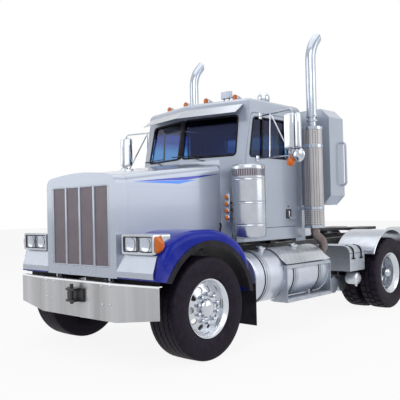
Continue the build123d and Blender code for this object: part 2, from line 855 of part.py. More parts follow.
with BuildPart() as lamp_lenses:
    lens_width = (pod_outer_x - pod_inner_x - 2 * pod_rim - 2 * seat_gap - lens_split) / 2
    lens_height = pod_high_z - pod_low_z - 2 * pod_rim - 2 * seat_gap
    with BuildSketch(Plane.XZ.offset(-pod_front_y - lens_recess + seat_gap)):
        with Locations((pod_mid_x, pod_mid_z)):
            with GridLocations(lens_width + lens_split, lens_height, 2, 1):
                RectangleRounded(lens_width, lens_height, pod_rounding / 2)
    extrude(amount=lens_thickness)
    with BuildSketch(Plane.YZ.offset(pod_outer_x + seat_gap)):
        with Locations((pod_front_y + turn_lamp_depth / 2, pod_mid_z)):
            RectangleRounded(turn_lamp_depth, turn_lamp_height, pod_rounding)
    extrude(amount=turn_lamp_length, taper=turn_lamp_taper)
    add(fender_form(-seat_gap), mode=Mode.SUBTRACT)
    mirror(about=Plane.YZ)
write(lamp_lenses, "lamp_lenses")

# Cab: a hollow shell with a swept two-pane windscreen, cut along its real joints
cab_corner_radius = 60
cowl_flare_x = 140
cowl_half_width = cab_half_width - cowl_flare_x
cowl_flare_y = 970
roof_radius = 90
pane_divider = 56
pane_post = 14
pane_end_x = pillar_x - pane_post
pane_low_z = 2172
pane_high_z = 2668
pane_corner = 42
glass_thickness = 8
glass_depth = 18
rear_window_half_width = 430
rear_window_low_z = 2190
rear_window_high_z = 2560


def lower_plan(inset):
    """The cab's plan from its floor up to the belt, flaring back from the cowl."""
    with BuildSketch() as plan:
        with BuildLine():
            Polyline(
                (-cowl_half_width, cowl_y),
                (cowl_half_width, cowl_y),
                (cab_half_width, cowl_flare_y),
                (cab_half_width, cab_rear_y),
                (-cab_half_width, cab_rear_y),
                (-cab_half_width, cowl_flare_y),
                close=True,
            )
        outline = make_face()
        fillet(outline.vertices().group_by(Axis.Y)[-1], cab_corner_radius)
        offset(amount=-inset, kind=Kind.INTERSECTION, mode=Mode.REPLACE)
    return plan.sketch


def upper_plan(height, inset):
    """The cab's plan at a height in the windscreen, where both panes lean back."""
    nose_y = windscreen_foot_y + windscreen_rake_share * (height - belt_z)
    pillar_y = nose_y + windscreen_sweep_share * pillar_x
    with BuildSketch() as plan:
        with BuildLine():
            Polyline(
                (0, nose_y),
                (pillar_x, pillar_y),
                (cab_half_width, pillar_y + pillar_return),
                (cab_half_width, cab_rear_y),
                (-cab_half_width, cab_rear_y),
                (-cab_half_width, pillar_y + pillar_return),
                (-pillar_x, pillar_y),
                close=True,
            )
        outline = make_face()
        fillet(outline.vertices().group_by(Axis.Y)[-1], cab_corner_radius)
        offset(amount=-inset, kind=Kind.INTERSECTION, mode=Mode.REPLACE)
    return plan.sketch


def cab_form(inset, bottom_z):
    """The cab's solid form, drawn in by an inset on every side."""
    with BuildPart() as form:
        extrude(Plane.XY.offset(bottom_z) * lower_plan(inset), belt_z - inset - bottom_z)
        foot_z = belt_z - inset - seat_gap * (inset > 0)
        loft([Plane.XY.offset(z) * upper_plan(z, inset) for z in (foot_z, glass_top_z)], ruled=True)
        extrude(Plane.XY.offset(glass_top_z) * upper_plan(glass_top_z, inset), roof_top_z - inset - glass_top_z)
        fillet(form.edges().group_by(Axis.Z)[-1], roof_radius - inset)
    return form.part


pane_plane = Plane(
    origin=(0, windscreen_foot_y, belt_z),
    x_dir=(1, windscreen_sweep_share, 0),
    z_dir=(windscreen_sweep_share, -1, windscreen_rake_share),
)


def pane_outline(trim):
    """One windscreen pane in its own leaning plane."""
    low = pane_low_z - belt_z
    high = pane_high_z - belt_z
    with BuildSketch() as pane:
        with Locations(((pane_divider / 2 + pane_end_x) / 2, (low + high) / 2)):
            RectangleRounded(pane_end_x - pane_divider / 2 - 2 * trim, high - low - 2 * trim, pane_corner - trim)
    return pane.sketch


def door_outline(trim):
    """The door from the side: an upright leading edge that leans back beside the windscreen."""
    lean_share = (door_top_front_y - door_front_y) / (door_top_z - belt_z)
    with BuildSketch() as door:
        with BuildLine():
            edge = FilletPolyline(
                (door_rear_y - trim, door_bottom_z + trim),
                (door_rear_y - trim, door_top_z - trim),
                (door_top_front_y + trim, door_top_z - trim),
                (door_front_y + trim, belt_z),
                (door_front_y + trim, door_bottom_z + trim),
                radius=[door_corner, door_brow, door_corner],
            )
            Line(edge @ 1, edge @ 0)
        make_face()
    return door.sketch


door_corner = 40
door_brow = 90
window_low_z = 2152
window_high_z = 2632
window_rear_y = 1892
window_front_y = 1112
window_top_front_y = 1206
window_corner = 36


def window_outline(trim):
    with BuildSketch() as window:
        with BuildLine():
            FilletPolyline(
                (window_rear_y - trim, window_low_z + trim),
                (window_rear_y - trim, window_high_z - trim),
                (window_top_front_y + trim, window_high_z - trim),
                (window_front_y + trim, window_low_z + trim),
                radius=window_corner,
                close=True,
            )
        make_face()
    return window.sketch


with BuildPart() as pane_cut:
    extrude(pane_plane * pane_outline(0), 2 * cab_wall, both=True)
    mirror(about=Plane.YZ)

with BuildPart() as cab:
    add(cab_form(0, cab_bottom_z))
    add(cab_form(cab_wall, cab_bottom_z + floor_thickness), mode=Mode.SUBTRACT)
    add(pane_cut.part, mode=Mode.SUBTRACT)
    extrude(Plane.YZ * door_outline(0), cab_half_width + overrun, both=True, mode=Mode.SUBTRACT)
    with BuildSketch(Plane.XZ.offset(-cab_rear_y)):
        with Locations((0, (rear_window_low_z + rear_window_high_z) / 2)):
            RectangleRounded(2 * rear_window_half_width, rear_window_high_z - rear_window_low_z, pane_corner)
    extrude(amount=2 * cab_wall, both=True, mode=Mode.SUBTRACT)

# Door hinges: the pin and outer knuckles on the post, the middle knuckle on the door
door_hinge_proud = 18
door_hinge_x = cab_half_width + door_hinge_proud
door_hinge_y = door_front_y + moving_gap / 2
door_hinge_places_z = (1450, 2000)
door_hinge_radius = 12
door_hinge_pin_radius = 6
door_hinge_half = 60
door_hinge_inner = 21
door_hinge_play = 2
door_leaf_length = 50
door_leaf_thickness = 5
door_tongue = door_hinge_radius - moving_gap / 2


def hinge_side(reach, spans):
    """One side of both hinges: leaves on the skin, tongues and knuckles, over the given spans of height."""
    tongue_y = door_hinge_y + reach * (moving_gap + door_tongue) / 2
    leaf_y = door_hinge_y + reach * (moving_gap + door_leaf_length) / 2
    leaf_x = cab_half_width + door_leaf_thickness / 2
    with BuildPart() as side:
        for hinge_mid_z in door_hinge_places_z:
            for low, high in spans:
                with BuildSketch(Plane.XY.offset(hinge_mid_z + low)):
                    with Locations((door_hinge_x, door_hinge_y)):
                        Circle(door_hinge_radius)
                    with Locations(((cab_half_width + door_hinge_x - skin) / 2, tongue_y)):
                        Rectangle(door_hinge_x - cab_half_width + skin, door_tongue)
                    with Locations((leaf_x - skin / 2, leaf_y)):
                        Rectangle(door_leaf_thickness + skin, door_leaf_length)
                extrude(amount=high - low)
    return side.part


with BuildPart() as post_hinges:
    outer = (door_hinge_inner, door_hinge_half)
    add(hinge_side(-1, (outer, (-door_hinge_half, -door_hinge_inner))))
    for hinge_mid_z in door_hinge_places_z:
        with BuildSketch(Plane.XY.offset(hinge_mid_z - door_hinge_half)):
            with Locations((door_hinge_x, door_hinge_y)):
                Circle(door_hinge_pin_radius)
        extrude(amount=2 * door_hinge_half)
    mirror(about=Plane.YZ)

half = cab_half_width + overrun
door_mid_y = (door_front_y + door_rear_y) / 2
cab_cuts = (
    ("cab_floor", cowl_y - overrun, cab_rear_y + overrun, cab_bottom_z - overrun, cab_split_z),
    ("cab_front", cowl_y - overrun, door_mid_y, cab_split_z, roof_split_z),
    ("cab_back", door_mid_y, cab_rear_y + overrun, cab_split_z, roof_split_z),
    ("cab_roof", cowl_y - overrun, cab_rear_y + overrun, roof_split_z, roof_top_z + overrun),
)
for name, low_y, high_y, low_z, high_z in cab_cuts:
    with BuildPart() as panel:
        add(cab.part)
        with BuildSketch(Plane.XY.offset(low_z)):
            with Locations((0, (low_y + high_y) / 2)):
                Rectangle(2 * half, high_y - low_y)
        extrude(amount=high_z - low_z, mode=Mode.INTERSECT)
        if name == "cab_front":
            add(post_hinges.part)
    write(panel, name)

# Glass: two windscreen panes and the rear window
with BuildPart() as cab_glass:
    extrude(pane_plane.offset(-glass_depth) * pane_outline(seat_gap), -glass_thickness)
    mirror(about=Plane.YZ)
    with BuildSketch(Plane.XZ.offset(glass_depth - cab_rear_y)):
        with Locations((0, (rear_window_low_z + rear_window_high_z) / 2)):
            RectangleRounded(
                2 * (rear_window_half_width - seat_gap),
                rear_window_high_z - rear_window_low_z - 2 * seat_gap,
                pane_corner - seat_gap,
            )
    extrude(amount=glass_thickness)
write(cab_glass, "cab_glass")

# Doors: one on each side, hinged at the leading edge, with a handle
handle_y = 1960
handle_z = 1400
handle_length = 150
handle_height = 34
handle_reach = 26

with BuildPart() as door:
    extrude(Plane.YZ.offset(cab_half_width - cab_wall) * door_outline(moving_gap), cab_wall)
    extrude(
        Plane.YZ.offset(cab_half_width - cab_wall) * window_outline(0), 3 * cab_wall, both=True, mode=Mode.SUBTRACT
    )
    with BuildSketch(Plane.YZ.offset(cab_half_width)):
        with Locations((handle_y, handle_z)):
            RectangleRounded(handle_length, handle_height, handle_height / 3)
    extrude(amount=handle_reach)
    middle = (door_hinge_play - door_hinge_inner, door_hinge_inner - door_hinge_play)
    add(hinge_side(1, (middle,)))
    with BuildSketch(Plane.XY.offset(door_bottom_z)):
        with Locations((door_hinge_x, door_hinge_y)):
            Circle(door_hinge_pin_radius + pin_clearance)
    extrude(amount=belt_z - door_bottom_z, mode=Mode.SUBTRACT)
write_pair(door, "door")

with BuildPart() as door_glass:
    extrude(
        Plane.YZ.offset(cab_half_width - cab_wall / 2 - glass_thickness) * window_outline(seat_gap), glass_thickness
    )
write_pair(door_glass, "door_glass")

# Mirrors: a tall head on two arms, with a round convex mirror and a lamp below
mirror_standoff = 560
mirror_x = cab_half_width + mirror_standoff
mirror_y = 1180
mirror_width = 196
mirror_depth = 74
mirror_low_z = 2190
mirror_high_z = 2600
mirror_rounding = 26
arm_radius = 11
arm_low_z = 2126
arm_high_z = 2650
arm_root_low_y = 1260
arm_root_high_y = 1330
bowl_radius_small = 84
bowl_depth = 60
bowl_x = 1500
bowl_z = 2130
ball_radius = 40
ball_x = 1400
ball_z = 2090


def tube(points, radius, bend):
    """A round tube along a path of straight runs joined by arcs."""
    with BuildLine() as path:
        FilletPolyline(*points, radius=bend)
    with BuildSketch(Plane(origin=path.line @ 0, z_dir=path.line % 0)) as section:
        Circle(radius)
    return sweep(section.sketch, path=path.line, mode=Mode.PRIVATE)


with BuildPart() as side_mirror:
    with BuildSketch(Plane.XY.offset(mirror_low_z)):
        with Locations((mirror_x, mirror_y)):
            RectangleRounded(mirror_width, mirror_depth, mirror_rounding)
    extrude(amount=mirror_high_z - mirror_low_z)
    root_x = cab_half_width - arm_radius
    add(
        tube(
            [
                (root_x, arm_root_high_y, arm_high_z),
                (mirror_x, mirror_y, arm_high_z),
                (mirror_x, mirror_y, arm_low_z),
                (root_x, arm_root_low_y, arm_low_z),
            ],
            arm_radius,
            2 * mirror_rounding,
        )
    )
    with BuildSketch(Plane.XZ.offset(-mirror_y + mirror_depth / 2)):
        with Locations((bowl_x, bowl_z)):
            Circle(bowl_radius_small)
    extrude(amount=-bowl_depth, taper=30)
    with Locations((ball_x, mirror_y, ball_z)):
        Sphere(ball_radius)
    split(bisect_by=Plane.YZ.offset(cab_half_width + seat_gap), keep=Keep.TOP)
write_pair(side_mirror, "mirror")

# Sun visor: a swept strip drooping ahead of the windscreen
visor_overhang = 10
visor_half_width = pillar_x + visor_overhang
visor_back_z = 2785
visor_front_z = 2670
visor_reach = 170
visor_thickness = 20


def visor_plan(nose_y):
    end_y = nose_y + windscreen_sweep_share * visor_half_width
    with BuildSketch() as plan:
        with BuildLine():
            Polyline(
                (0, nose_y),
                (visor_half_width, end_y),
                (visor_half_width, end_y + visor_thickness),
                (0, nose_y + visor_thickness),
                (-visor_half_width, end_y + visor_thickness),
                (-visor_half_width, end_y),
                close=True,
            )
        make_face()
    return plan.sketch


with BuildPart() as visor:
    wall_y = windscreen_foot_y + windscreen_rake_share * (glass_top_z - belt_z) - visor_thickness - 2 * seat_gap
    loft(
        [
            Plane.XY.offset(visor_front_z) * visor_plan(wall_y - visor_reach),
            Plane.XY.offset(visor_back_z) * visor_plan(wall_y),
        ],
        ruled=True,
    )
write(visor, "visor")

# Lamps: bullet markers on the roof, round ambers on the cowl and red lamps at the tail
marker_x = (-580, -180, 180, 580)
marker_y = 1085
marker_radius = 38
marker_length = 190
marker_back_share = 0.4
cowl_lamp_inset = 20
cowl_lamp_x = cab_half_width - cowl_lamp_inset
cowl_lamp_y = 700
cowl_lamp_radius = 34
cowl_lamp_depth = 26
cowl_lamp_pitch = 80
cowl_lamp_count = 4
cowl_lamp_mid_z = 1548
cowl_bar_width = 26
tail_lamp_radius = 52
tail_lamp_x = 300
tail_lamp_z = member_z

# Air cleaners: a banded canister with domed ends on each side of the cowl
cleaner_standoff = 170
cleaner_x = cab_half_width + cleaner_standoff
cleaner_y = 862
cleaner_radius = 190
cleaner_low_z = 1197
cleaner_high_z = 2030
cleaner_dome = 26
cleaner_band = 40
cleaner_band_proud = 5
cleaner_bracket_z = (1400, 1830)
cleaner_bracket_height = 50
cleaner_band_places_z = (1330, 1650, 1900)

with BuildPart() as air_cleaners:
    with BuildSketch(Plane(origin=(cleaner_x, cleaner_y, 0), x_dir=(1, 0, 0), z_dir=(0, -1, 0))):
        with BuildLine():
            Polyline(
                (0, cleaner_low_z),
                (cleaner_radius - cleaner_dome, cleaner_low_z),
                (cleaner_radius, cleaner_low_z + cleaner_dome),
                (cleaner_radius, cleaner_high_z - cleaner_dome),
                (cleaner_radius - cleaner_dome, cleaner_high_z),
                (0, cleaner_high_z),
                close=True,
            )
        make_face()
    revolve(axis=Axis((cleaner_x, cleaner_y, 0), (0, 0, 1)))
    for band_z in cleaner_band_places_z:
        with BuildSketch(Plane.XY.offset(band_z)):
            with Locations((cleaner_x, cleaner_y)):
                Circle(cleaner_radius + cleaner_band_proud)
        extrude(amount=cleaner_band)
    for bracket_z in cleaner_bracket_z:
        with BuildSketch(Plane.XY.offset(bracket_z)):
            with Locations((cleaner_x - cleaner_radius, cleaner_y)):
                Rectangle(2 * cleaner_radius, cleaner_band)
        extrude(amount=cleaner_bracket_height)
    extrude(Plane.XY.offset(cab_bottom_z) * lower_plan(-seat_gap), belt_z - cab_bottom_z, mode=Mode.SUBTRACT)
    mirror(about=Plane.YZ)
write(air_cleaners, "air_cleaners")

# Exhaust stacks: a shielded muffler, a tall pipe curved back at its tip, and an elbow below
stack_standoff = 170
stack_x = cab_half_width + stack_standoff
stack_y = 2225
stack_pipe_radius = 64
muffler_radius = 127
muffler_low_z = 1262
muffler_high_z = 2560
muffler_cone = 60
stack_bend_z = 3560
stack_bend_radius = 340
stack_tip_rise = 290
stack_tip_back = 120
elbow_radius = 58
elbow_y = 2425
elbow_z = 945
elbow_knee_z = 1190
elbow_heel_z = 1075
elbow_bend = 80
stack_clamp_z = (1500, 2300)
stack_clamp_reach = 60

with BuildPart() as exhaust_stacks:
    with BuildSketch(Plane(origin=(stack_x, stack_y, 0), x_dir=(1, 0, 0), z_dir=(0, -1, 0))):
        with BuildLine():
            Polyline(
                (0, muffler_low_z - muffler_cone),
                (stack_pipe_radius, muffler_low_z - muffler_cone),
                (stack_pipe_radius, muffler_low_z),
                (muffler_radius, muffler_low_z + muffler_cone / 2),
                (muffler_radius, muffler_high_z),
                (stack_pipe_radius, muffler_high_z + muffler_cone),
                (0, muffler_high_z + muffler_cone),
                close=True,
            )
        make_face()
    revolve(axis=Axis((stack_x, stack_y, 0), (0, 0, 1)))
    add(
        tube(
            [
                (stack_x, stack_y, muffler_high_z),
                (stack_x, stack_y, stack_bend_z),
                (stack_x, stack_y + stack_tip_back, stack_bend_z + stack_tip_rise),
            ],
            stack_pipe_radius,
            stack_bend_radius,
        )
    )
    add(
        tube(
            [
                (stack_x, stack_y, muffler_low_z),
                (stack_x, stack_y, elbow_knee_z),
                (stack_x, elbow_y, elbow_heel_z),
                (stack_x, elbow_y, elbow_z),
                (rail_outer_x + seat_gap, elbow_y, elbow_z),
            ],
            elbow_radius,
            elbow_bend,
        )
    )
    for clamp_z in stack_clamp_z:
        with BuildSketch(Plane.XY.offset(clamp_z)):
            with Locations((stack_x, stack_y)):
                Circle(muffler_radius + cleaner_band_proud)
            with Locations(((cab_half_width + seat_gap + stack_x) / 2, stack_y - stack_clamp_reach)):
                Rectangle(stack_x - cab_half_width - seat_gap, cleaner_band)
        extrude(amount=cleaner_band)
    mirror(about=Plane.YZ)
write(exhaust_stacks, "exhaust_stacks")

# Fuel tanks slung beside the rails on saddles, with straps
tank_radius = 305
tank_x = 875
tank_z = 730
tank_front_y = 800
tank_rear_y = 2350
tank_end_bulge = 24
strap_width = 60
strap_thickness = 6
strap_places_y = (1000, 1560, 2120)
saddle_depth = 60

with BuildPart() as fuel_tanks:
    with BuildSketch(Plane.XZ.offset(-tank_front_y)):
        with Locations((tank_x, tank_z)):
            Circle(tank_radius)
    extrude(amount=tank_front_y - tank_rear_y)
    fillet(fuel_tanks.edges().filter_by(GeomType.CIRCLE), tank_end_bulge)
    mirror(about=Plane.YZ)
write(fuel_tanks, "fuel_tanks")

with BuildPart() as tank_saddles:
    for strap_y in strap_places_y:
        with BuildSketch(Plane.XZ.offset(-strap_y)):
            with Locations((tank_x, tank_z)):
                Circle(tank_radius + seat_gap + strap_thickness)
            with Locations(((rail_outer_x + seat_gap + tank_x) / 2, rail_bottom_z - saddle_depth)):
                Rectangle(tank_x - rail_outer_x - seat_gap, 2 * rail_depth)
            with Locations((tank_x, tank_z)):
                Circle(tank_radius + seat_gap, mode=Mode.SUBTRACT)
        extrude(amount=-strap_width)
    mirror(about=Plane.YZ)
write(tank_saddles, "tank_saddles")

# Steps: two treads hung in a frame on the outboard face of each tank
step_front_y = 1340
step_rear_y = 2310
step_plate = 10
upper_step_z = 846
upper_step_outer_x = 1215
lower_step_z = 450
lower_step_inner_x = 1010
lower_step_outer_x = 1215
tread_depth = 36

with BuildPart() as tank_steps:
    for tread_z, inner_x, outer_x in (
        (upper_step_z, tank_x, upper_step_outer_x),
        (lower_step_z, lower_step_inner_x, lower_step_outer_x),
    ):
        with BuildSketch(Plane.XY.offset(tread_z)):
            with Locations(((inner_x + outer_x) / 2, (step_front_y + step_rear_y) / 2)):
                Rectangle(outer_x - inner_x, step_rear_y - step_front_y)
        extrude(amount=-tread_depth)
    for frame_y in (step_front_y, step_rear_y - step_plate):
        with BuildSketch(Plane.XZ.offset(-frame_y)):
            with BuildLine():
                Polyline(
                    (tank_x, upper_step_z),
                    (upper_step_outer_x, upper_step_z),
                    (lower_step_outer_x, lower_step_z - tread_depth),
                    (lower_step_inner_x, lower_step_z - tread_depth),
                    (tank_x, lower_step_z),
                    close=True,
                )
            make_face()
        extrude(amount=-step_plate)
    with BuildSketch(Plane.XZ.offset(-step_front_y + overrun)):
        with Locations((tank_x, tank_z)):
            Circle(tank_radius + strap_thickness + 2 * seat_gap)
    extrude(amount=step_front_y - step_rear_y - 2 * overrun, mode=Mode.SUBTRACT)
    mirror(about=Plane.YZ)
write(tank_steps, "tank_steps")

# Tool boxes behind the tanks, with a rounded lid edge, and a pair of air tanks beneath
box_front_y = 3020
box_rear_y = 3440
box_outer_x = 1100
box_bottom_z = 627
box_top_z = 982
box_rounding = 110
air_tank_radius = 118
air_tank_z = 415
air_tank_half_length = 780
air_tank_places_y = (3110, 3352)
hanger_width = 40

with BuildPart() as tool_boxes:
    with BuildSketch(Plane.XZ.offset(-box_front_y)):
        with BuildLine():
            FilletPolyline(
                (rail_outer_x + seat_gap, box_bottom_z),
                (rail_outer_x + seat_gap, box_top_z),
                (box_outer_x, box_top_z),
                (box_outer_x, box_bottom_z),
                radius=[seat_gap, box_rounding],
            )
            Line((box_outer_x, box_bottom_z), (rail_outer_x + seat_gap, box_bottom_z))
        make_face()
    extrude(amount=box_front_y - box_rear_y)
    mirror(about=Plane.YZ)
write(tool_boxes, "tool_boxes")

with BuildPart() as air_tanks:
    for air_tank_y in air_tank_places_y:
        with BuildSketch(Plane.YZ.offset(-air_tank_half_length)):
            with Locations((air_tank_y, air_tank_z)):
                Circle(air_tank_radius)
        extrude(amount=2 * air_tank_half_length)
        for hand in (1, -1):
            with BuildSketch(Plane.XY.offset(air_tank_z)):
                with Locations((hand * (rail_outer_x - rail_flange / 2), air_tank_y)):
                    Rectangle(hanger_width, hanger_width)
            extrude(amount=rail_bottom_z - seat_gap - air_tank_z)
write(air_tanks, "air_tanks")

# Cabinet behind the cab: a tall chamfered box on two feet, with a grab handle on each side
cabinet_half_width = 1050
cabinet_bottom_z = 1560
cabinet_top_z = 2880
cabinet_chamfer = 125
cabinet_leg_x = 386
cabinet_leg_width = 80
cabinet_leg_depth = 240
cabinet_handle_reach = 70
cabinet_handle_radius = 16
cabinet_handle_low_z = 1830
cabinet_handle_high_z = 2420
cabinet_handle_bend = 50

with BuildPart() as rear_cabinet:
    with BuildSketch(Plane.XZ.offset(-cabinet_front_y)):
        with Locations((0, (cabinet_bottom_z + cabinet_top_z) / 2)):
            Rectangle(2 * cabinet_half_width, cabinet_top_z - cabinet_bottom_z)
        chamfer(vertices(), cabinet_chamfer)
    extrude(amount=cabinet_front_y - cabinet_rear_y)
    for hand in (1, -1):
        with BuildSketch(Plane.XY.offset(rail_top_z + seat_gap)):
            with Locations((hand * cabinet_leg_x, (cabinet_front_y + cabinet_rear_y) / 2)):
                Rectangle(cabinet_leg_width, cabinet_leg_depth)
        extrude(amount=cabinet_bottom_z - rail_top_z - seat_gap)
        handle_x = hand * (cabinet_half_width + cabinet_handle_reach)
        root_x = hand * (cabinet_half_width - cabinet_handle_radius)
        cabinet_handle_y = cabinet_rear_y - cabinet_handle_reach
        add(
            tube(
                [
                    (root_x, cabinet_handle_y, cabinet_handle_low_z),
                    (handle_x, cabinet_handle_y, cabinet_handle_low_z),
                    (handle_x, cabinet_handle_y, cabinet_handle_high_z),
                    (root_x, cabinet_handle_y, cabinet_handle_high_z),
                ],
                cabinet_handle_radius,
                cabinet_handle_bend,
            )
        )
write(rear_cabinet, "rear_cabinet")

# Rear fenders: polished half rounds over each pair of drive wheels, on two cross tubes
half_fender_radius = 650
half_fender_inner_x = 600
half_fender_outer_x = 1222
half_fender_foot_z = 843
half_fender_skin = 6
fender_tube_radius = 20
fender_tube_inner_x = rail_outer_x + seat_gap

with BuildPart() as rear_fenders:
    for axle_y in (first_drive_y, second_drive_y):
        with BuildSketch(Plane.YZ.offset(half_fender_inner_x)):
            with Locations((axle_y, axle_z)):
                Circle(half_fender_radius)
                Circle(half_fender_radius - half_fender_skin, mode=Mode.SUBTRACT)
            with Locations((axle_y, half_fender_foot_z - half_fender_radius)):
                Rectangle(3 * half_fender_radius, 2 * half_fender_radius, mode=Mode.SUBTRACT)
        extrude(amount=half_fender_outer_x - half_fender_inner_x)
        tube_rise = half_fender_foot_z - axle_z + 2 * fender_tube_radius
        tube_reach = ((half_fender_radius - half_fender_skin - fender_tube_radius / 2) ** 2 - tube_rise**2) ** 0.5
        with BuildSketch(Plane.YZ.offset(fender_tube_inner_x)):
            with Locations((axle_y - tube_reach, axle_z + tube_rise), (axle_y + tube_reach, axle_z + tube_rise)):
                Circle(fender_tube_radius)
        extrude(amount=half_fender_outer_x - fender_tube_inner_x - overrun)
    mirror(about=Plane.YZ)
write(rear_fenders, "rear_fenders")

# Mud flaps: one behind each steered wheel and one behind the last drive wheels
flap_thickness = 10
front_flap_y = 752
front_flap_inner_x = 900
front_flap_outer_x = 1200
front_flap_top_z = 700
front_flap_bottom_z = 240
rear_flap_inner_x = 600
rear_flap_outer_x = 1210
rear_flap_top_z = 930
rear_flap_bottom_z = 260
hanger_radius = 22

with BuildPart() as mud_flaps:
    for flap_y, inner_x, outer_x, low_z, high_z in (
        (front_flap_y, front_flap_inner_x, front_flap_outer_x, front_flap_bottom_z, front_flap_top_z),
        (tail_y - flap_thickness, rear_flap_inner_x, rear_flap_outer_x, rear_flap_bottom_z, rear_flap_top_z),
    ):
        with BuildSketch(Plane.XZ.offset(-flap_y)):
            with Locations(((inner_x + outer_x) / 2, (low_z + high_z) / 2)):
                Rectangle(outer_x - inner_x, high_z - low_z)
        extrude(amount=-flap_thickness)
    with BuildSketch(Plane.XZ.offset(-front_flap_y - flap_thickness)):
        with Locations(((front_flap_inner_x + front_flap_outer_x) / 2, tank_z - overrun)):
            Rectangle(overrun, overrun)
    extrude(amount=front_flap_y + flap_thickness + seat_gap - tank_front_y)
    with BuildSketch(Plane.YZ.offset(rail_outer_x + seat_gap)):
        with Locations((tail_y - flap_thickness - hanger_radius, rear_flap_top_z - hanger_radius)):
            Circle(hanger_radius)
    extrude(amount=rear_flap_outer_x - rail_outer_x)
    mirror(about=Plane.YZ)
write(mud_flaps, "mud_flaps")

# Suspension: leaf springs in front; trailing beams, brackets and air springs behind
spring_x = 470
spring_half_length = 560
spring_rise = 150
spring_width = 90
spring_leaf = 42
shackle_depth = 50
trailing_x = 470
trailing_width = 90
trailing_depth = 70
trailing_reach = 420
air_spring_radius = 125
seat_block = 120

with BuildPart() as suspension:
    leaf_low_z = beam_z + beam_depth / 2 + seat_gap
    with BuildSketch(Plane.YZ.offset(spring_x - spring_width)):
        with BuildLine():
            lower = ThreePointArc(
                (-spring_half_length, leaf_low_z + spring_rise),
                (0, leaf_low_z),
                (spring_half_length, leaf_low_z + spring_rise),
            )
            Line(lower @ 1, (spring_half_length, leaf_low_z + spring_rise + spring_leaf))
            upper = ThreePointArc(
                (spring_half_length, leaf_low_z + spring_rise + spring_leaf),
                (0, leaf_low_z + spring_leaf),
                (-spring_half_length, leaf_low_z + spring_rise + spring_leaf),
            )
            Line(upper @ 1, lower @ 0)
        make_face()
    extrude(amount=spring_width)
    for end_y in (-spring_half_length + shackle_depth, spring_half_length - shackle_depth):
        with BuildSketch(Plane.XZ.offset(shackle_depth / 2 - end_y)):
            with BuildLine():
                Polyline(
                    (spring_x - spring_width, leaf_low_z + spring_rise),
                    (spring_x - spring_width, rail_bottom_z - seat_gap),
                    (spring_x, rail_bottom_z - seat_gap),
                    (spring_x, leaf_low_z + spring_rise),
                    close=True,
                )
            make_face()
        extrude(amount=-shackle_depth)
    for axle_y in (first_drive_y, second_drive_y):
        beam_low_z = axle_z - housing_radius - trailing_depth - seat_gap
        with BuildSketch(Plane.YZ.offset(trailing_x - trailing_width)):
            with Locations((axle_y, beam_low_z + trailing_depth / 2)):
                Rectangle(2 * trailing_reach, trailing_depth)
        extrude(amount=trailing_width)
        with BuildSketch(Plane.YZ.offset(trailing_x - trailing_width)):
            with Locations((axle_y - trailing_reach + seat_block / 2, (beam_low_z + rail_bottom_z) / 2)):
                Rectangle(seat_block, rail_bottom_z - seat_gap - beam_low_z)
        extrude(amount=trailing_width)
        with BuildSketch(Plane.XY.offset(beam_low_z + trailing_depth)):
            with Locations((trailing_x - trailing_width / 2, axle_y + trailing_reach - air_spring_radius)):
                Circle(air_spring_radius)
        extrude(amount=rail_bottom_z - seat_gap - beam_low_z - trailing_depth)
    mirror(about=Plane.YZ)
write(suspension, "suspension")

# Fifth wheel: a saddle base on the rails and a rocking plate with a throat and a round jaw
coupling_y = 4760
coupling_top_z = 1190
plate_thickness = 44
plate_half_width = 450
plate_front_reach = 330
plate_rear_reach = 420
jaw_radius = 25.8
throat_half_width = 150
jaw_depth = 60
pivot_z = 1118
pivot_radius = 20
pivot_inner_x = 300
pivot_outer_x = 400
base_thickness = 16
base_reach = 330
cheek_thickness = 30
cheek_radius = 42
cheek_top_radius = 23
plate_corner = 90

with BuildPart() as fifth_wheel_base:
    with BuildSketch(Plane.XY.offset(rail_top_z + seat_gap)):
        with Locations((0, coupling_y)):
            Rectangle(2 * rail_outer_x, 2 * base_reach)
            Rectangle(2 * (pivot_inner_x - cheek_thickness), base_reach, mode=Mode.SUBTRACT)
    extrude(amount=base_thickness)
    for hand in (1, -1):
        with BuildSketch(Plane.YZ.offset(hand * pivot_outer_x)):
            with BuildLine():
                Polyline(
                    (coupling_y - 2 * cheek_radius, rail_top_z + base_thickness),
                    (coupling_y + 2 * cheek_radius, rail_top_z + base_thickness),
                    (coupling_y + cheek_radius / 2, pivot_z),
                    (coupling_y - cheek_radius / 2, pivot_z),
                    close=True,
                )
            make_face()
            with Locations((coupling_y, pivot_z)):
                Circle(cheek_top_radius)
        extrude(amount=hand * cheek_thickness)
        with BuildSketch(Plane.YZ.offset(hand * pivot_inner_x)):
            with Locations((coupling_y, pivot_z)):
                Circle(pivot_radius)
        extrude(amount=hand * (pivot_outer_x + cheek_thickness - pivot_inner_x))
write(fifth_wheel_base, "fifth_wheel_base")

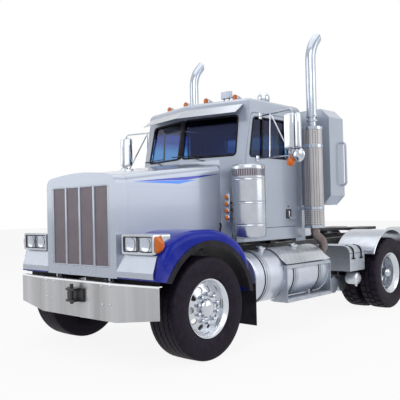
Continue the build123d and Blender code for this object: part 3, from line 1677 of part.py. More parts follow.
with BuildPart() as fifth_wheel_plate:
    with BuildSketch(Plane.XY.offset(coupling_top_z - plate_thickness)):
        with Locations((0, coupling_y + (plate_rear_reach - plate_front_reach) / 2)):
            RectangleRounded(2 * plate_half_width, plate_front_reach + plate_rear_reach, plate_corner)
        with BuildLine():
            Polyline(
                (-throat_half_width, coupling_y + plate_rear_reach + overrun),
                (-jaw_radius, coupling_y + jaw_depth),
                (jaw_radius, coupling_y + jaw_depth),
                (throat_half_width, coupling_y + plate_rear_reach + overrun),
                close=True,
            )
        make_face(mode=Mode.SUBTRACT)
        with Locations((0, coupling_y)):
            Circle(jaw_radius, mode=Mode.SUBTRACT)
    extrude(amount=plate_thickness)
    for hand in (1, -1):
        with BuildSketch(Plane.YZ.offset(hand * (pivot_inner_x + seat_gap))):
            with Locations((coupling_y, pivot_z)):
                Circle(pivot_radius + cheek_radius / 3)
            with Locations((coupling_y, (pivot_z + coupling_top_z - plate_thickness) / 2)):
                Rectangle(3 * pivot_radius, coupling_top_z - plate_thickness - pivot_z)
        extrude(amount=hand * (pivot_outer_x - pivot_inner_x - 2 * moving_gap))
        with BuildSketch(Plane.YZ.offset(hand * pivot_inner_x)):
            with Locations((coupling_y, pivot_z)):
                Circle(pivot_radius + pin_clearance)
        extrude(amount=hand * (pivot_outer_x - pivot_inner_x), mode=Mode.SUBTRACT)
write(fifth_wheel_plate, "fifth_wheel_plate")

# Inside the cab: a dashboard, a steering wheel on its column and two seats on pedestals
dash_half_width = 780
dash_front_y = 800
dash_rear_y = 1160
dash_low_z = 1560
dash_top_z = 2090
dash_brow_z = 1990
wheel_side_room = 460
wheel_x = cab_half_width - wheel_side_room
wheel_y = 1350
wheel_z = 1985
wheel_ring_radius = 225
wheel_rim_thickness = 15
column_radius = 30
column_length = 930
column_lean = 62
seat_side_room = 450
seat_x = cab_half_width - seat_side_room
seat_front_y = 1480
seat_depth = 500
seat_width = 500
seat_low_z = 1640
seat_cushion = 130
seat_back_thickness = 130
seat_back_high_z = 2330
pedestal_width = 320
seat_rounding = 40

with BuildPart() as dashboard:
    with BuildSketch(Plane.YZ.offset(-dash_half_width)):
        with BuildLine():
            Polyline(
                (dash_front_y + overrun, dash_low_z),
                (dash_front_y + overrun, dash_brow_z),
                (dash_front_y + 4 * overrun, dash_top_z),
                (dash_rear_y - overrun, dash_brow_z + overrun),
                (dash_rear_y, dash_brow_z - overrun),
                (dash_rear_y - 2 * overrun, dash_low_z),
                close=True,
            )
        make_face()
    extrude(amount=2 * dash_half_width)
    add(cab_form(cab_wall + seat_gap, cab_bottom_z + floor_thickness), mode=Mode.INTERSECT)
write(dashboard, "dashboard")

wheel_tilt = Plane(
    origin=(wheel_x, wheel_y, wheel_z), x_dir=(1, 0, 0), z_dir=Vector(0, 1, 0).rotate(Axis.X, column_lean)
)
with BuildPart() as steering_wheel:
    with BuildSketch(Plane(origin=wheel_tilt.origin, x_dir=wheel_tilt.x_dir, z_dir=wheel_tilt.y_dir)):
        with Locations((wheel_ring_radius, 0)):
            Circle(wheel_rim_thickness)
    revolve(axis=Axis(wheel_tilt.origin, wheel_tilt.z_dir))
    with BuildSketch(wheel_tilt.offset(-wheel_rim_thickness)):
        Rectangle(2 * wheel_ring_radius, 2 * wheel_rim_thickness)
        Circle(2 * column_radius)
    extrude(amount=wheel_rim_thickness)
    with BuildSketch(wheel_tilt.offset(-wheel_rim_thickness)):
        Circle(column_radius)
    extrude(amount=-column_length)
    split(bisect_by=Plane.XY.offset(cab_bottom_z + floor_thickness + seat_gap), keep=Keep.TOP)
write(steering_wheel, "steering_wheel")

with BuildPart() as seat_bases:
    with BuildSketch(Plane.XY.offset(cab_bottom_z + floor_thickness)):
        with Locations((seat_x, seat_front_y + seat_depth / 2), (-seat_x, seat_front_y + seat_depth / 2)):
            Rectangle(pedestal_width, pedestal_width)
    extrude(amount=seat_low_z - seat_gap - cab_bottom_z - floor_thickness)
write(seat_bases, "seat_bases")

with BuildPart() as seats:
    for hand in (1, -1):
        with BuildSketch(Plane.YZ.offset(hand * seat_x - seat_width / 2)):
            seat_rear_y = seat_front_y + seat_depth
            with BuildLine():
                FilletPolyline(
                    (seat_front_y, seat_low_z),
                    (seat_front_y, seat_low_z + seat_cushion),
                    (seat_rear_y - seat_back_thickness, seat_low_z + seat_cushion),
                    (seat_rear_y, seat_back_high_z),
                    (seat_rear_y + seat_back_thickness, seat_back_high_z),
                    (seat_rear_y, seat_low_z),
                    radius=seat_rounding,
                    close=True,
                )
            make_face()
        extrude(amount=seat_width)
write(seats, "seats")

# Lamps on the roof, beside the cowl and at the tail
with BuildPart() as marker_lamps:
    for lamp_x in marker_x:
        lamp_y = marker_y + windscreen_sweep_share * abs(lamp_x)
        with BuildSketch(Plane.XZ.offset(-lamp_y)):
            with Locations((lamp_x, roof_top_z + seat_gap + marker_radius)):
                Circle(marker_radius)
        with BuildSketch(Plane.XZ.offset(-lamp_y - marker_length)):
            with Locations((lamp_x, roof_top_z + seat_gap + marker_radius * marker_back_share)):
                Circle(marker_radius * marker_back_share)
        loft()
    for hand in (1, -1):
        with BuildSketch(Plane.XZ.offset(-cowl_lamp_y)):
            with Locations((hand * cowl_lamp_x, cowl_lamp_mid_z)):
                Rectangle(cowl_bar_width, cowl_lamp_pitch * cowl_lamp_count)
                with GridLocations(cowl_lamp_pitch, cowl_lamp_pitch, 1, cowl_lamp_count):
                    Circle(cowl_lamp_radius)
        extrude(amount=cowl_lamp_depth)
        for bracket_z in (cowl_lamp_mid_z - cowl_lamp_pitch / 2, cowl_lamp_mid_z + cowl_lamp_pitch / 2):
            with BuildSketch(Plane.XY.offset(bracket_z)):
                with Locations((hand * (cowl_lamp_x + cleaner_x) / 2, cowl_lamp_y + cowl_bar_width / 2)):
                    Rectangle(cleaner_x - cowl_lamp_x, cowl_bar_width)
                with Locations((hand * cleaner_x, cleaner_y)):
                    Circle(cleaner_radius + seat_gap, mode=Mode.SUBTRACT)
            extrude(amount=cowl_bar_width)
        with BuildSketch(Plane.XZ.offset(-tail_y)):
            with Locations((hand * tail_lamp_x, tail_lamp_z)):
                Circle(tail_lamp_radius)
        extrude(amount=tail_lamp_depth - seat_gap)
write(marker_lamps, "marker_lamps")

with BuildPart() as tow_hitch:
    with BuildSketch(Plane.XZ.offset(seat_gap - hitch_front_y)):
        with Locations((0, (hitch_low_z + hitch_high_z) / 2)):
            Rectangle(hitch_width, hitch_high_z - hitch_low_z)
    extrude(amount=hitch_plate)
    for jaw_z in (hitch_low_z, hitch_high_z - hitch_plate):
        with BuildSketch(Plane.XY.offset(jaw_z)):
            with Locations((0, hitch_front_y - hitch_depth / 2)):
                Rectangle(hitch_width / 2, hitch_depth)
        extrude(amount=hitch_plate)
    with BuildSketch(Plane.XY.offset(hitch_low_z - hitch_plate)):
        with Locations((0, hitch_front_y - hitch_depth / 2 - hitch_pin_radius)):
            Circle(hitch_pin_radius)
    extrude(amount=hitch_high_z - hitch_low_z + 3 * hitch_plate)
write(tow_hitch, "tow_hitch")
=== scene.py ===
import json
import math

import bmesh
import bpy
from mathutils import Matrix, Vector


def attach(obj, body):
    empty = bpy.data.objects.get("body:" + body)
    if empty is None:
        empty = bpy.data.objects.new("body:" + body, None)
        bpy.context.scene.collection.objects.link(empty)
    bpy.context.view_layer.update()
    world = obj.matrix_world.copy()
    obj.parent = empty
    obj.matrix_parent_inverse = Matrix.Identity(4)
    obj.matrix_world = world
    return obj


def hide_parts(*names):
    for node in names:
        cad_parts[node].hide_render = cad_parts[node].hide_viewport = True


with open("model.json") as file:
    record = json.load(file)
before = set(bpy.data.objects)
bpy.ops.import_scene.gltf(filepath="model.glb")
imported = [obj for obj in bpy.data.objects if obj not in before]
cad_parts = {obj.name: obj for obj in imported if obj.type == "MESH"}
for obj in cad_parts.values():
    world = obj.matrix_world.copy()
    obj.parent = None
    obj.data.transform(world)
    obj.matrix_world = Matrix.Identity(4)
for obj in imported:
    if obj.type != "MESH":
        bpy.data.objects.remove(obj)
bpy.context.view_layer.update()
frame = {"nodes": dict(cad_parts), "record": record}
print("frame loaded:", len(frame["nodes"]), "nodes")

truck = {  # places that most pieces share, in metres
    "axleZ": 0.527,
    "frontAxleY": -2.575,
    "driveAxlesY": (1.475, 2.795),
    "handNames": (("left", 1), ("right", -1)),
}


# Shader expressions: a wire is one socket's output, and its maths adds nodes

class Wire:
    def __init__(self, tree, socket=None):
        self.tree = tree
        self.socket = socket

    def node(self, kind, settings, inputs, output=0):
        made = self.tree.nodes.new(kind)
        for name, value in settings.items():
            setattr(made, name, value)
        for name, value in inputs.items():
            if isinstance(value, Wire):
                self.tree.links.new(value.socket, made.inputs[name])
            else:
                made.inputs[name].default_value = value
        return Wire(self.tree, made.outputs[output])

    def math(self, operation, *others):
        return self.node("ShaderNodeMath", {"operation": operation}, dict(enumerate((self, *others))))

    def __add__(self, other): return self.math("ADD", other)
    def __radd__(self, other): return self.math("ADD", other)
    def __sub__(self, other): return self.math("SUBTRACT", other)
    def __rsub__(self, other): return self.math("MULTIPLY", -1).math("ADD", other)
    def __mul__(self, other): return self.math("MULTIPLY", other)
    def __rmul__(self, other): return self.math("MULTIPLY", other)
    def __gt__(self, other): return self.math("GREATER_THAN", other)
    def __lt__(self, other): return self.math("LESS_THAN", other)
    def __abs__(self): return self.math("ABSOLUTE")

    def axes(self):
        split = self.tree.nodes.new("ShaderNodeSeparateXYZ")
        self.tree.links.new(self.socket, split.inputs[0])
        return [Wire(self.tree, out) for out in split.outputs]

    def scaled(self, size, turn=(0, 0, 0)):
        return self.node("ShaderNodeMapping", {}, {"Vector": self, "Scale": size, "Rotation": turn})

    def noise(self, scale, detail=2.0, rough=0.5):
        inputs = {"Vector": self, "Scale": scale, "Detail": detail, "Roughness": rough}
        return self.node("ShaderNodeTexNoise", {}, inputs)

    def cells(self, scale, feature="F1", randomness=1.0):
        inputs = {"Vector": self, "Scale": scale, "Randomness": randomness}
        return self.node("ShaderNodeTexVoronoi", {"feature": feature}, inputs)

    def between(self, low, high, fromLow=0.0, fromHigh=1.0):
        inputs = {"Value": self, "From Min": fromLow, "From Max": fromHigh, "To Min": low, "To Max": high}
        return self.node("ShaderNodeMapRange", {"clamp": True}, inputs)

    def tint(self, first, second):
        # colours go in by their sockets' numbers, because a Mix node has several called A and B
        first, second = [c if isinstance(c, Wire) else (*c, 1) for c in (first, second)]
        return self.node("ShaderNodeMix", {"data_type": "RGBA"}, {0: self, 6: first, 7: second}, 2)

    def bump(self, strength, distance):
        return self.node("ShaderNodeBump", {}, {"Height": self, "Strength": strength, "Distance": distance})


def newMaterial(name, **fixed):
    made = bpy.data.materials.new(name)
    made.use_nodes = True
    tree = made.node_tree
    tree.nodes.clear()
    out = tree.nodes.new("ShaderNodeOutputMaterial")
    shader = tree.nodes.new("ShaderNodeBsdfPrincipled")
    tree.links.new(shader.outputs[0], out.inputs["Surface"])
    for socket, value in fixed.items():
        shader.inputs[socket.replace("_", " ")].default_value = value
    coords = Wire(tree).node("ShaderNodeTexCoord", {}, {}, "Object")

    def feed(**wires):
        for socket, wire in wires.items():
            tree.links.new(wire.socket, shader.inputs[socket.replace("_", " ")])

    return made, coords, feed


# Materials

paint = {
    "pale": (0.44, 0.49, 0.58),
    "paleShade": (0.36, 0.41, 0.51),
    "blue": (0.002, 0.016, 0.38),
    "blueDeep": (0.001, 0.008, 0.24),
    "stripeDark": (0.006, 0.03, 0.38),
    "stripeBright": (0.02, 0.19, 0.75),
    "dust": (0.36, 0.33, 0.3),
    "gloss": 0.2,
    "coat": 0.6,
}


stripes = (  # two tapering stripes along the hood's side, each deepest at its belly
    {"startY": -3.06, "endY": -1.86, "bellyY": -2.35, "startZ": 1.832, "endZ": 1.937, "drop": 0.036,
     "colour": paint["stripeDark"]},
    {"startY": -3.06, "endY": -2.2, "bellyY": -2.46, "startZ": 1.826, "endZ": 1.862, "drop": 0.036,
     "colour": paint["stripeBright"]},
)


cabin = {  # the room inside the cab, where the walls are lined
    "halfX": 0.836, "rearY": -0.369, "lowZ": 1.15, "highZ": 2.826, "frontY": -1.803, "footY": -1.76, "sweep": 0.2313,
    "beltZ": 2.1, "rake": 0.2075, "wall": 0.02, "lining": (0.05, 0.052, 0.07),
}


def dirtMask(coords, lowZ, highZ):
    height = coords.axes()[2]
    return height.between(1, 0, lowZ, highZ) * coords.noise(6, 4, 0.6).between(0, 1, 0.4, 0.7)


def makeBodyPaint(name, striped=False):
    made, coords, feed = newMaterial(name, Metallic=0.25, Coat_Weight=paint["coat"], Coat_Roughness=0.06)
    flake = coords.noise(900, 1)
    soft = coords.noise(2.2, 3)
    colour = (flake * 0.4 + soft * 0.6).tint(paint["paleShade"], paint["pale"])
    across, along, up = coords.axes()
    if striped:
        for part in stripes:
            reach = along.between(0, 1, part["startY"], part["endY"])
            top = reach * (part["endZ"] - part["startZ"]) + part["startZ"]
            belly = along.between(0, 1, part["startY"], part["bellyY"])
            belly = belly * along.between(1, 0, part["bellyY"], part["endY"])
            inside = (up < top) * (up > top - belly * part["drop"]) * (belly > 0.001) * (abs(across) > 0.55)
            colour = inside.tint(colour, part["colour"])
    slant = (along - cabin["footY"]) - abs(across) * cabin["sweep"] - (up - cabin["beltZ"]) * cabin["rake"]
    inside = (abs(across) < cabin["halfX"]) * (along < cabin["rearY"]) * (up > cabin["lowZ"]) * (up < cabin["highZ"])
    inside = inside * (slant > cabin["wall"]) * (along > cabin["frontY"])
    colour = inside.tint(colour, cabin["lining"])
    dirt = dirtMask(coords, 0.4, 1.2)
    feed(
        Base_Color=(dirt * 0.35).tint(colour, paint["dust"]),
        Roughness=(soft * 0.08 + paint["gloss"]) + dirt * 0.3,
        Normal=coords.noise(260, 1).bump(0.03, 0.0005),
    )
    return made


def makeBluePaint():
    made, coords, feed = newMaterial("bluePaint", Coat_Weight=0.12, Coat_Roughness=0.05, Specular_IOR_Level=0.15,
                                     Specular_Tint=(0.5, 0.65, 1, 1))
    soft = coords.noise(3, 3)
    dirt = dirtMask(coords, 0.5, 1.3)
    feed(
        Base_Color=(dirt * 0.3).tint(soft.tint(paint["blueDeep"], paint["blue"]), paint["dust"]),
        Roughness=soft * 0.08 + 0.18 + dirt * 0.35,
        Normal=coords.noise(240, 1).bump(0.03, 0.0005),
    )
    return made


def makeMetal(name, bright, dull, lowRough, highRough, scratch, depth, metallic):
    made, coords, feed = newMaterial(name, Metallic=metallic)
    streaks = coords.scaled(scratch).noise(30, 4, 0.65)
    cloud = coords.noise(5, 4, 0.55)
    mix = (streaks * 0.35 + cloud * 0.65).between(0, 1, 0.3, 0.7)
    feed(
        Base_Color=mix.tint(dull, bright),
        Roughness=mix.between(highRough, lowRough),
        Normal=streaks.bump(depth, 0.0004),
    )
    return made


def makeBlackPaint(name, colour, rough, dustAmount):
    made, coords, feed = newMaterial(name)
    cloud = coords.noise(9, 5, 0.6)
    fine = coords.noise(420, 2)
    dust = cloud.between(0, 1, 0.45, 0.75) * dustAmount
    feed(
        Base_Color=dust.tint(colour, paint["dust"]),
        Roughness=cloud * 0.2 + rough,
        Normal=fine.bump(0.12, 0.0008),
    )
    return made


def makeRubber(name, colour, worn, rough):
    made, coords, feed = newMaterial(name, Specular_IOR_Level=0.14)
    cloud = coords.noise(14, 5, 0.6)
    grain = coords.noise(700, 2)
    feed(
        Base_Color=cloud.between(0, 1, 0.35, 0.75).tint(colour, worn),
        Roughness=cloud * 0.15 + rough,
        Normal=grain.bump(0.15, 0.0006),
    )
    return made


def makePunched(name, pitch, turn, metallic, cloudScale, colours, hole, roughness, depth):
    # round holes in rows: the grille's screens and the mufflers' heat shields; the holes are painted dark, a painted
    # shade of what lies behind them
    made, coords, feed = newMaterial(name, Metallic=metallic)
    punched = coords.scaled((1, 1, 1), (0, math.radians(turn), 0)).cells(pitch, "F1", 0.0).between(1, 0, 0.3, 0.36)
    cloud = coords.noise(*cloudScale)
    # the hole colour fills each round hole: painted shade
    feed(
        Base_Color=punched.tint(cloud.tint(*colours), hole),
        Roughness=cloud * roughness[0] + roughness[1],
        Normal=(1 - punched).bump(depth, 0.002),
    )
    return made


def makeGlass(name, tint, rough, shade=None):
    made, coords, feed = newMaterial(name, Transmission_Weight=1.0, IOR=1.45, Specular_IOR_Level=0.4,
                                     Specular_Tint=(0.45, 0.5, 1, 1))
    cloud = coords.noise(4, 3)
    colour = cloud.tint(tint, tuple(min(1, c * 1.08) for c in tint))
    # shade darkens the top of the pane: on the windscreen a near-black band, a painted shadow under the visor; on the
    # door glass a deeper blue towards the top
    if shade:
        colour = coords.axes()[2].between(0, 1, *shade["heights"]).tint(colour, shade["colour"])
    feed(Base_Color=colour, Roughness=cloud * 0.02 + rough)
    return made


def makeLamp(name, colour, rough, glow=0.0):
    made, coords, feed = newMaterial(name, Transmission_Weight=0.35, Emission_Strength=glow, Coat_Weight=0.2,
                                     Specular_IOR_Level=0.25)
    ribs = coords.cells(160, "F1", 0.0)
    shade = ribs.between(0, 1, 0, 0.6).tint(colour, tuple(c * 0.7 for c in colour))
    feed(
        Base_Color=shade,
        Emission_Color=shade,
        Roughness=ribs * 0.05 + rough,
        Normal=ribs.bump(0.2, 0.001),
    )
    return made


def makeTrim(name, colour, second, scale, rough):
    made, coords, feed = newMaterial(name)
    leather = coords.cells(scale)
    cloud = coords.noise(6, 3)
    feed(
        Base_Color=cloud.tint(colour, second),
        Roughness=leather * 0.1 + rough,
        Normal=leather.bump(0.3, 0.001),
    )
    return made


def makeTread():
    # raised bars in two leaning directions, as on chequered plate
    made, coords, feed = newMaterial("treadPlate", Metallic=0.8)
    bars = 0
    for turn, shift in ((45, 0.0), (-45, 0.5)):
        across, along = coords.scaled((1, 1, 1), (0, 0, math.radians(turn))).axes()[:2]
        first = (across * 28 + shift).math("FRACT").between(1, 0, 0.28, 0.36)
        second = (along * 14 + shift).math("FRACT").between(1, 0, 0.6, 0.68)
        bars = first * second + bars
    cloud = coords.noise(8, 4)
    feed(
        Base_Color=(cloud * 0.5 + bars * 0.5).tint((0.5, 0.53, 0.58), (0.72, 0.75, 0.8)),
        Roughness=cloud * 0.2 + 0.26,
        Normal=bars.bump(0.4, 0.0015),
    )
    return made


def makeBumperMetal():
    # polished plate with darker and lighter upright streaks; the rolled top edge is painted near white, a painted
    # highlight
    made, coords, feed = newMaterial("bumperMetal", Metallic=0.85)
    up = coords.axes()[2]
    uprightStreaks = coords.scaled((3, 3, 0.15)).noise(1.3, 3, 0.5).between(0, 1, 0.35, 0.65)
    # above 0.801 m the colour is a painted highlight along the rolled top edge
    rolled = up > 0.801
    feed(
        Base_Color=rolled.tint(uprightStreaks.tint((0.34, 0.34, 0.35), (0.52, 0.53, 0.55)), (0.9, 0.92, 0.95)),
        Roughness=uprightStreaks * 0.1 + 0.24,
        Normal=coords.scaled((1, 1, 40)).noise(30, 3).bump(0.03, 0.0004),
    )
    return made


def makeCloth():
    made, coords, feed = newMaterial("seatCloth", Sheen_Weight=0.3)
    warp, weft = [coords.node("ShaderNodeTexWave", {"bands_direction": way}, {"Vector": coords, "Scale": 190.0})
                  for way in ("X", "Z")]
    weave = warp * weft
    cloud = coords.noise(12, 3)
    feed(
        Base_Color=(weave * 0.5 + cloud * 0.5).tint((0.03, 0.04, 0.09), (0.1, 0.13, 0.24)),
        Roughness=weave * 0.1 + 0.78,
        Normal=weave.bump(0.35, 0.001),
    )
    return made


metals = {  # bright and dull colours, lowest and highest roughness, how scratches stretch, their depth, metallic
    "chrome": ((0.62, 0.65, 0.7), (0.4, 0.43, 0.48), 0.05, 0.14, (1, 1, 1), 0.02, 1.0),
    "polished": ((0.52, 0.55, 0.61), (0.42, 0.45, 0.5), 0.18, 0.28, (60, 60, 1), 0.04, 0.9),
    "tankMetal": ((0.6, 0.64, 0.72), (0.5, 0.54, 0.62), 0.3, 0.4, (1, 60, 1), 0.05, 0.8),
    "bareAluminium": ((0.5, 0.54, 0.6), (0.32, 0.35, 0.4), 0.32, 0.5, (1, 60, 1), 0.12, 1.0),
    "stackMetal": ((0.5, 0.55, 0.62), (0.33, 0.37, 0.44), 0.12, 0.2, (1, 1, 0.2), 0.02, 0.9),
    "burntSteel": ((0.24, 0.2, 0.19), (0.11, 0.09, 0.095), 0.35, 0.55, (1, 1, 1), 0.1, 1.0),
    "greasedSteel": ((0.12, 0.12, 0.13), (0.05, 0.05, 0.055), 0.25, 0.6, (1, 1, 1), 0.2, 1.0),
    "mirrorGlass": ((0.75, 0.78, 0.82), (0.7, 0.73, 0.78), 0.02, 0.05, (1, 1, 1), 0.0, 1.0),
    "rimMetal": ((0.72, 0.75, 0.8), (0.55, 0.58, 0.63), 0.14, 0.28, (60, 60, 1), 0.04, 0.75),
}
mats = {name: makeMetal(name, *finishOf) for name, finishOf in metals.items()}
for made in (
    makeBodyPaint("bodyPaint"),
    makeBodyPaint("hoodPaint", True),
    makeBluePaint(),
    makeBumperMetal(),
    makeBlackPaint("framePaint", (0.025, 0.025, 0.03), 0.42, 0.28),
    makeBlackPaint("blackPaint", (0.009, 0.007, 0.011), 0.32, 0.04),
    makeBlackPaint("enginePaint", (0.07, 0.07, 0.075), 0.5, 0.3),
    makeRubber("tyreRubber", (0.005, 0.003, 0.008), (0.021, 0.014, 0.027), 0.5),
    makeRubber("blackRubber", (0.009, 0.008, 0.012), (0.03, 0.027, 0.035), 0.45),
    makePunched("grilleMesh", 95, 45, 0.7, (7, 3), ((0.13, 0.108, 0.135), (0.22, 0.185, 0.215)),
                (0.06, 0.05, 0.05), (0.1, 0.38), 0.5),
    makePunched("perforated", 42, 0, 0.6, (5, 4), ((0.34, 0.33, 0.35), (0.5, 0.49, 0.5)),
                (0.03, 0.025, 0.03), (0.15, 0.3), 0.4),
    makeTread(),
    # the windscreen's dark top band is a painted shadow under the visor; the door glass is painted deeper blue
    # towards its top
    makeGlass("cabGlass", (0.3, 0.46, 0.74), 0.0, {"heights": (2.5, 2.6), "colour": (0.004, 0.006, 0.02)}),
    makeGlass("sideGlass", (0.16, 0.44, 0.66), 0.0, {"heights": (2.36, 2.5), "colour": (0.03, 0.06, 0.3)}),
    makeGlass("lampGlass", (0.92, 0.94, 0.98), 0.02),
    makeLamp("amber", (0.9, 0.2, 0.0), 0.12, 0.1),
    makeLamp("redLens", (0.6, 0.01, 0.01), 0.15, 0.1),
    makeTrim("cabTrim", (0.05, 0.055, 0.075), (0.08, 0.085, 0.11), 260, 0.5),
    makeCloth(),
):
    mats[made.name] = made
slotMaterial = {
    "frame_paint": "framePaint", "black_paint": "blackPaint", "engine_paint": "enginePaint",
    "body_paint": "bodyPaint", "blue_paint": "bluePaint", "polished_metal": "polished",
    "bare_aluminium": "bareAluminium", "greased_steel": "greasedSteel", "chrome": "chrome",
    "grille_mesh": "grilleMesh", "tyre": "tyreRubber", "black_rubber": "blackRubber", "glass": "cabGlass",
    "lamp_glass": "lampGlass", "amber_lens": "amber", "cab_trim": "cabTrim", "seat_cloth": "seatCloth",
}
slotOf = {material: slot for slot, material in slotMaterial.items()}  # what a new piece's material stands for
slotOf.update(rimMetal="polished_metal", perforated="chrome")
nodeMaterial = {  # nodes that differ from their slot's usual material
    "hood": "hoodPaint", "bumper": "bumperMetal", "fuel_tanks": "tankMetal", "tank_steps": "bareAluminium",
    "tank_saddles": "bareAluminium", "air_tanks": "bareAluminium", "door_glass_left": "sideGlass",
    "door_glass_right": "sideGlass",
}
for row in frame["record"]["subparts"]:
    worn = frame["nodes"][row["node"]].data.materials
    worn.clear()
    worn.append(mats[nodeMaterial.get(row["node"], slotMaterial[row["material_slot"]])])
print("materials:", len(mats))


# Mesh helpers

upward, ahead, rearward, outward = (0, 0, 1), (0, -1, 0), (0, 1, 0), (1, 0, 0)


def finish(bm, name, material, body="chassis", smoothAngle=40, standsFor=None):
    bmesh.ops.remove_doubles(bm, verts=bm.verts, dist=0.00002)
    bmesh.ops.recalc_face_normals(bm, faces=bm.faces)
    mesh = bpy.data.meshes.new(name)
    bm.to_mesh(mesh)
    bm.free()
    for face in mesh.polygons:
        face.use_smooth = True
    mesh.set_sharp_from_angle(angle=math.radians(smoothAngle))
    mesh.materials.append(mats[material])
    made = bpy.data.objects.new(name, mesh)
    bpy.context.scene.collection.objects.link(made)
    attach(made, body)
    if standsFor:
        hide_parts(standsFor)
    return made


def join(bm, other):
    mesh = bpy.data.meshes.new("joined")
    other.to_mesh(mesh)
    other.free()
    bm.from_mesh(mesh)
    bpy.data.meshes.remove(mesh)


def settle(bm, part, place, turn=Matrix()):
    # turns the part, moves it to its place and joins it to bm
    bmesh.ops.transform(part, matrix=Matrix.Translation(place) @ turn.to_4x4(), verts=part.verts)
    join(bm, part)


def turnTo(axis, direction):
    return Vector(axis).rotation_difference(Vector(direction)).to_matrix()


def vertsOf(geom):
    return [item for item in geom if isinstance(item, bmesh.types.BMVert)]


def bevelEdges(bm, edges, offset, segments):
    bmesh.ops.bevel(bm, geom=edges, offset=offset, segments=segments, profile=0.5, affect="EDGES", material=-1)


def addSpin(bm, points, steps=64):
    # points are (along X, radius); the profile turns about the X axis
    part = bmesh.new()
    ring = [part.verts.new((x, 0, radius)) for x, radius in points]
    for pair in zip(ring, ring[1:]):
        part.edges.new(pair)
    bmesh.ops.spin(part, geom=part.verts[:] + part.edges[:], axis=(1, 0, 0), cent=(0, 0, 0), angle=math.tau,
                   steps=steps, use_merge=True)
    bmesh.ops.remove_doubles(part, verts=part.verts, dist=0.00002)
    join(bm, part)


def addLathe(bm, points, place, direction, steps=32):
    # points are (along the direction, radius)
    part = bmesh.new()
    addSpin(part, points, steps)
    settle(bm, part, place, turnTo((1, 0, 0), direction))


def band(middle, half, low, high, slope=0.002):
    # a raised band in a lathe's profile
    return [(middle - half, low), (middle - half + slope, high), (middle + half - slope, high), (middle + half, low)]


def addBox(bm, centre, size, bevel=0.0, segments=2, turn=Matrix()):
    part = bmesh.new()
    bmesh.ops.create_cube(part, size=1)
    bmesh.ops.scale(part, vec=size, verts=part.verts)
    if bevel:
        bevelEdges(part, part.edges[:], bevel, segments)
    settle(bm, part, centre, turn)


def addDome(bm, centre, direction, radius, height, sides=10):
    part = bmesh.new()
    bmesh.ops.create_uvsphere(part, u_segments=sides, v_segments=6, radius=1)
    bmesh.ops.bisect_plane(part, geom=part.verts[:] + part.edges[:] + part.faces[:], plane_co=(0, 0, -0.02),
                           plane_no=(0, 0, 1), clear_inner=True)
    bmesh.ops.scale(part, vec=(radius, radius, height), verts=part.verts)
    settle(bm, part, centre, turnTo((0, 0, 1), direction))


def addBall(bm, centre, radius, sides, rings):
    part = bmesh.new()
    bmesh.ops.create_uvsphere(part, u_segments=sides, v_segments=rings, radius=radius)
    settle(bm, part, centre)


def addRod(bm, start, end, radius, sides=20, endRadius=None):
    part = bmesh.new()
    run = Vector(end) - Vector(start)
    bmesh.ops.create_cone(part, cap_ends=True, segments=sides, radius1=radius,
                          radius2=radius if endRadius is None else endRadius, depth=run.length)
    settle(bm, part, (Vector(start) + Vector(end)) / 2, turnTo((0, 0, 1), run))


def addPipe(bm, points, radius, bend=0.04, sides=16):
    # a round pipe along straight runs with rounded corners
    curve = bpy.data.curves.new("pipe", "CURVE")
    curve.dimensions = "3D"
    curve.bevel_depth = radius
    curve.bevel_resolution = max(1, sides // 4 - 1)
    curve.use_fill_caps = True
    spline = curve.splines.new("BEZIER")
    places = [Vector(p) for p in points]
    knots = [(places[0],) * 3]  # a place with its left and right handles
    for before, corner, after in zip(places, places[1:], places[2:]):
        back, forth = before - corner, after - corner
        reach = min(bend, back.length * 0.49, forth.length * 0.49)
        start, end = corner + back.normalized() * reach, corner + forth.normalized() * reach
        knots += [(start, start, corner.lerp(start, 0.45)), (end, corner.lerp(end, 0.45), end)]
    knots.append((places[-1],) * 3)
    spline.bezier_points.add(len(knots) - 1)
    for point, knot in zip(spline.bezier_points, knots):
        point.handle_left_type = point.handle_right_type = "FREE"
        point.co, point.handle_left, point.handle_right = knot
    spline.resolution_u = 6
    holder = bpy.data.objects.new("pipe", curve)
    mesh = bpy.data.meshes.new_from_object(holder)
    bm.from_mesh(mesh)
    bpy.data.objects.remove(holder)
    bpy.data.curves.remove(curve)
    bpy.data.meshes.remove(mesh)


def addLoop(bm, corners, radius, bend):
    # a closed round bead through corners, rounded at each
    places = [Vector(c) for c in corners]
    middle = (places[0] + places[-1]) / 2
    addPipe(bm, [middle, *places, middle], radius, bend, 8)


def rowOf(start, end, pitch):
    run = Vector(end) - Vector(start)
    count = max(1, round(run.length / pitch))
    return [Vector(start) + run * (i / count) for i in range(count + 1)]


def at(x, y, z):
    # a place whose y runs back from the front axle
    return Vector((x, truck["frontAxleY"] + y, z))


def bothHands(*parts):
    # adds the mirror image across the truck's middle
    for bm in parts:
        copy = bm.copy()
        bmesh.ops.scale(copy, vec=(-1, 1, 1), verts=copy.verts)
        bmesh.ops.reverse_faces(copy, faces=copy.faces)
        join(bm, copy)


# Wheels: tyres with modelled treads, holed discs, nuts and hub covers

tyre = {
    "radius": 0.527, "grooveDepth": 0.015, "steps": 120, "zigzag": 0.006, "crownHalf": 0.1, "edge": (0.104, 0.5235),
    "wall": (  # across and radius, from the bead to the shoulder
        (0.105, 0.3003), (0.1145, 0.3085), (0.122, 0.324), (0.127, 0.334), (0.1275, 0.338), (0.133, 0.36),
        (0.1372, 0.385), (0.1393, 0.412), (0.1385, 0.438), (0.1345, 0.466), (0.1352, 0.470), (0.1335, 0.478),
        (0.1285, 0.494), (0.1275, 0.504), (0.122, 0.5145), (0.112, 0.521),
    ),
    "ribbed": {"grooves": (-0.105, -0.036, 0.036, 0.105), "grooveHalf": 0.0065, "extra": 0.05,
               "cutAbove": 0.5195, "cutEvery": 3, "cutDepth": 0.004, "cutCrown": False, "stagger": 0},
    "lugged": {"grooves": (-0.036, 0.036), "grooveHalf": 0.007, "extra": 0,
               "cutAbove": 0.505, "cutEvery": 4, "cutDepth": 0.011, "cutCrown": True, "stagger": 2},
}


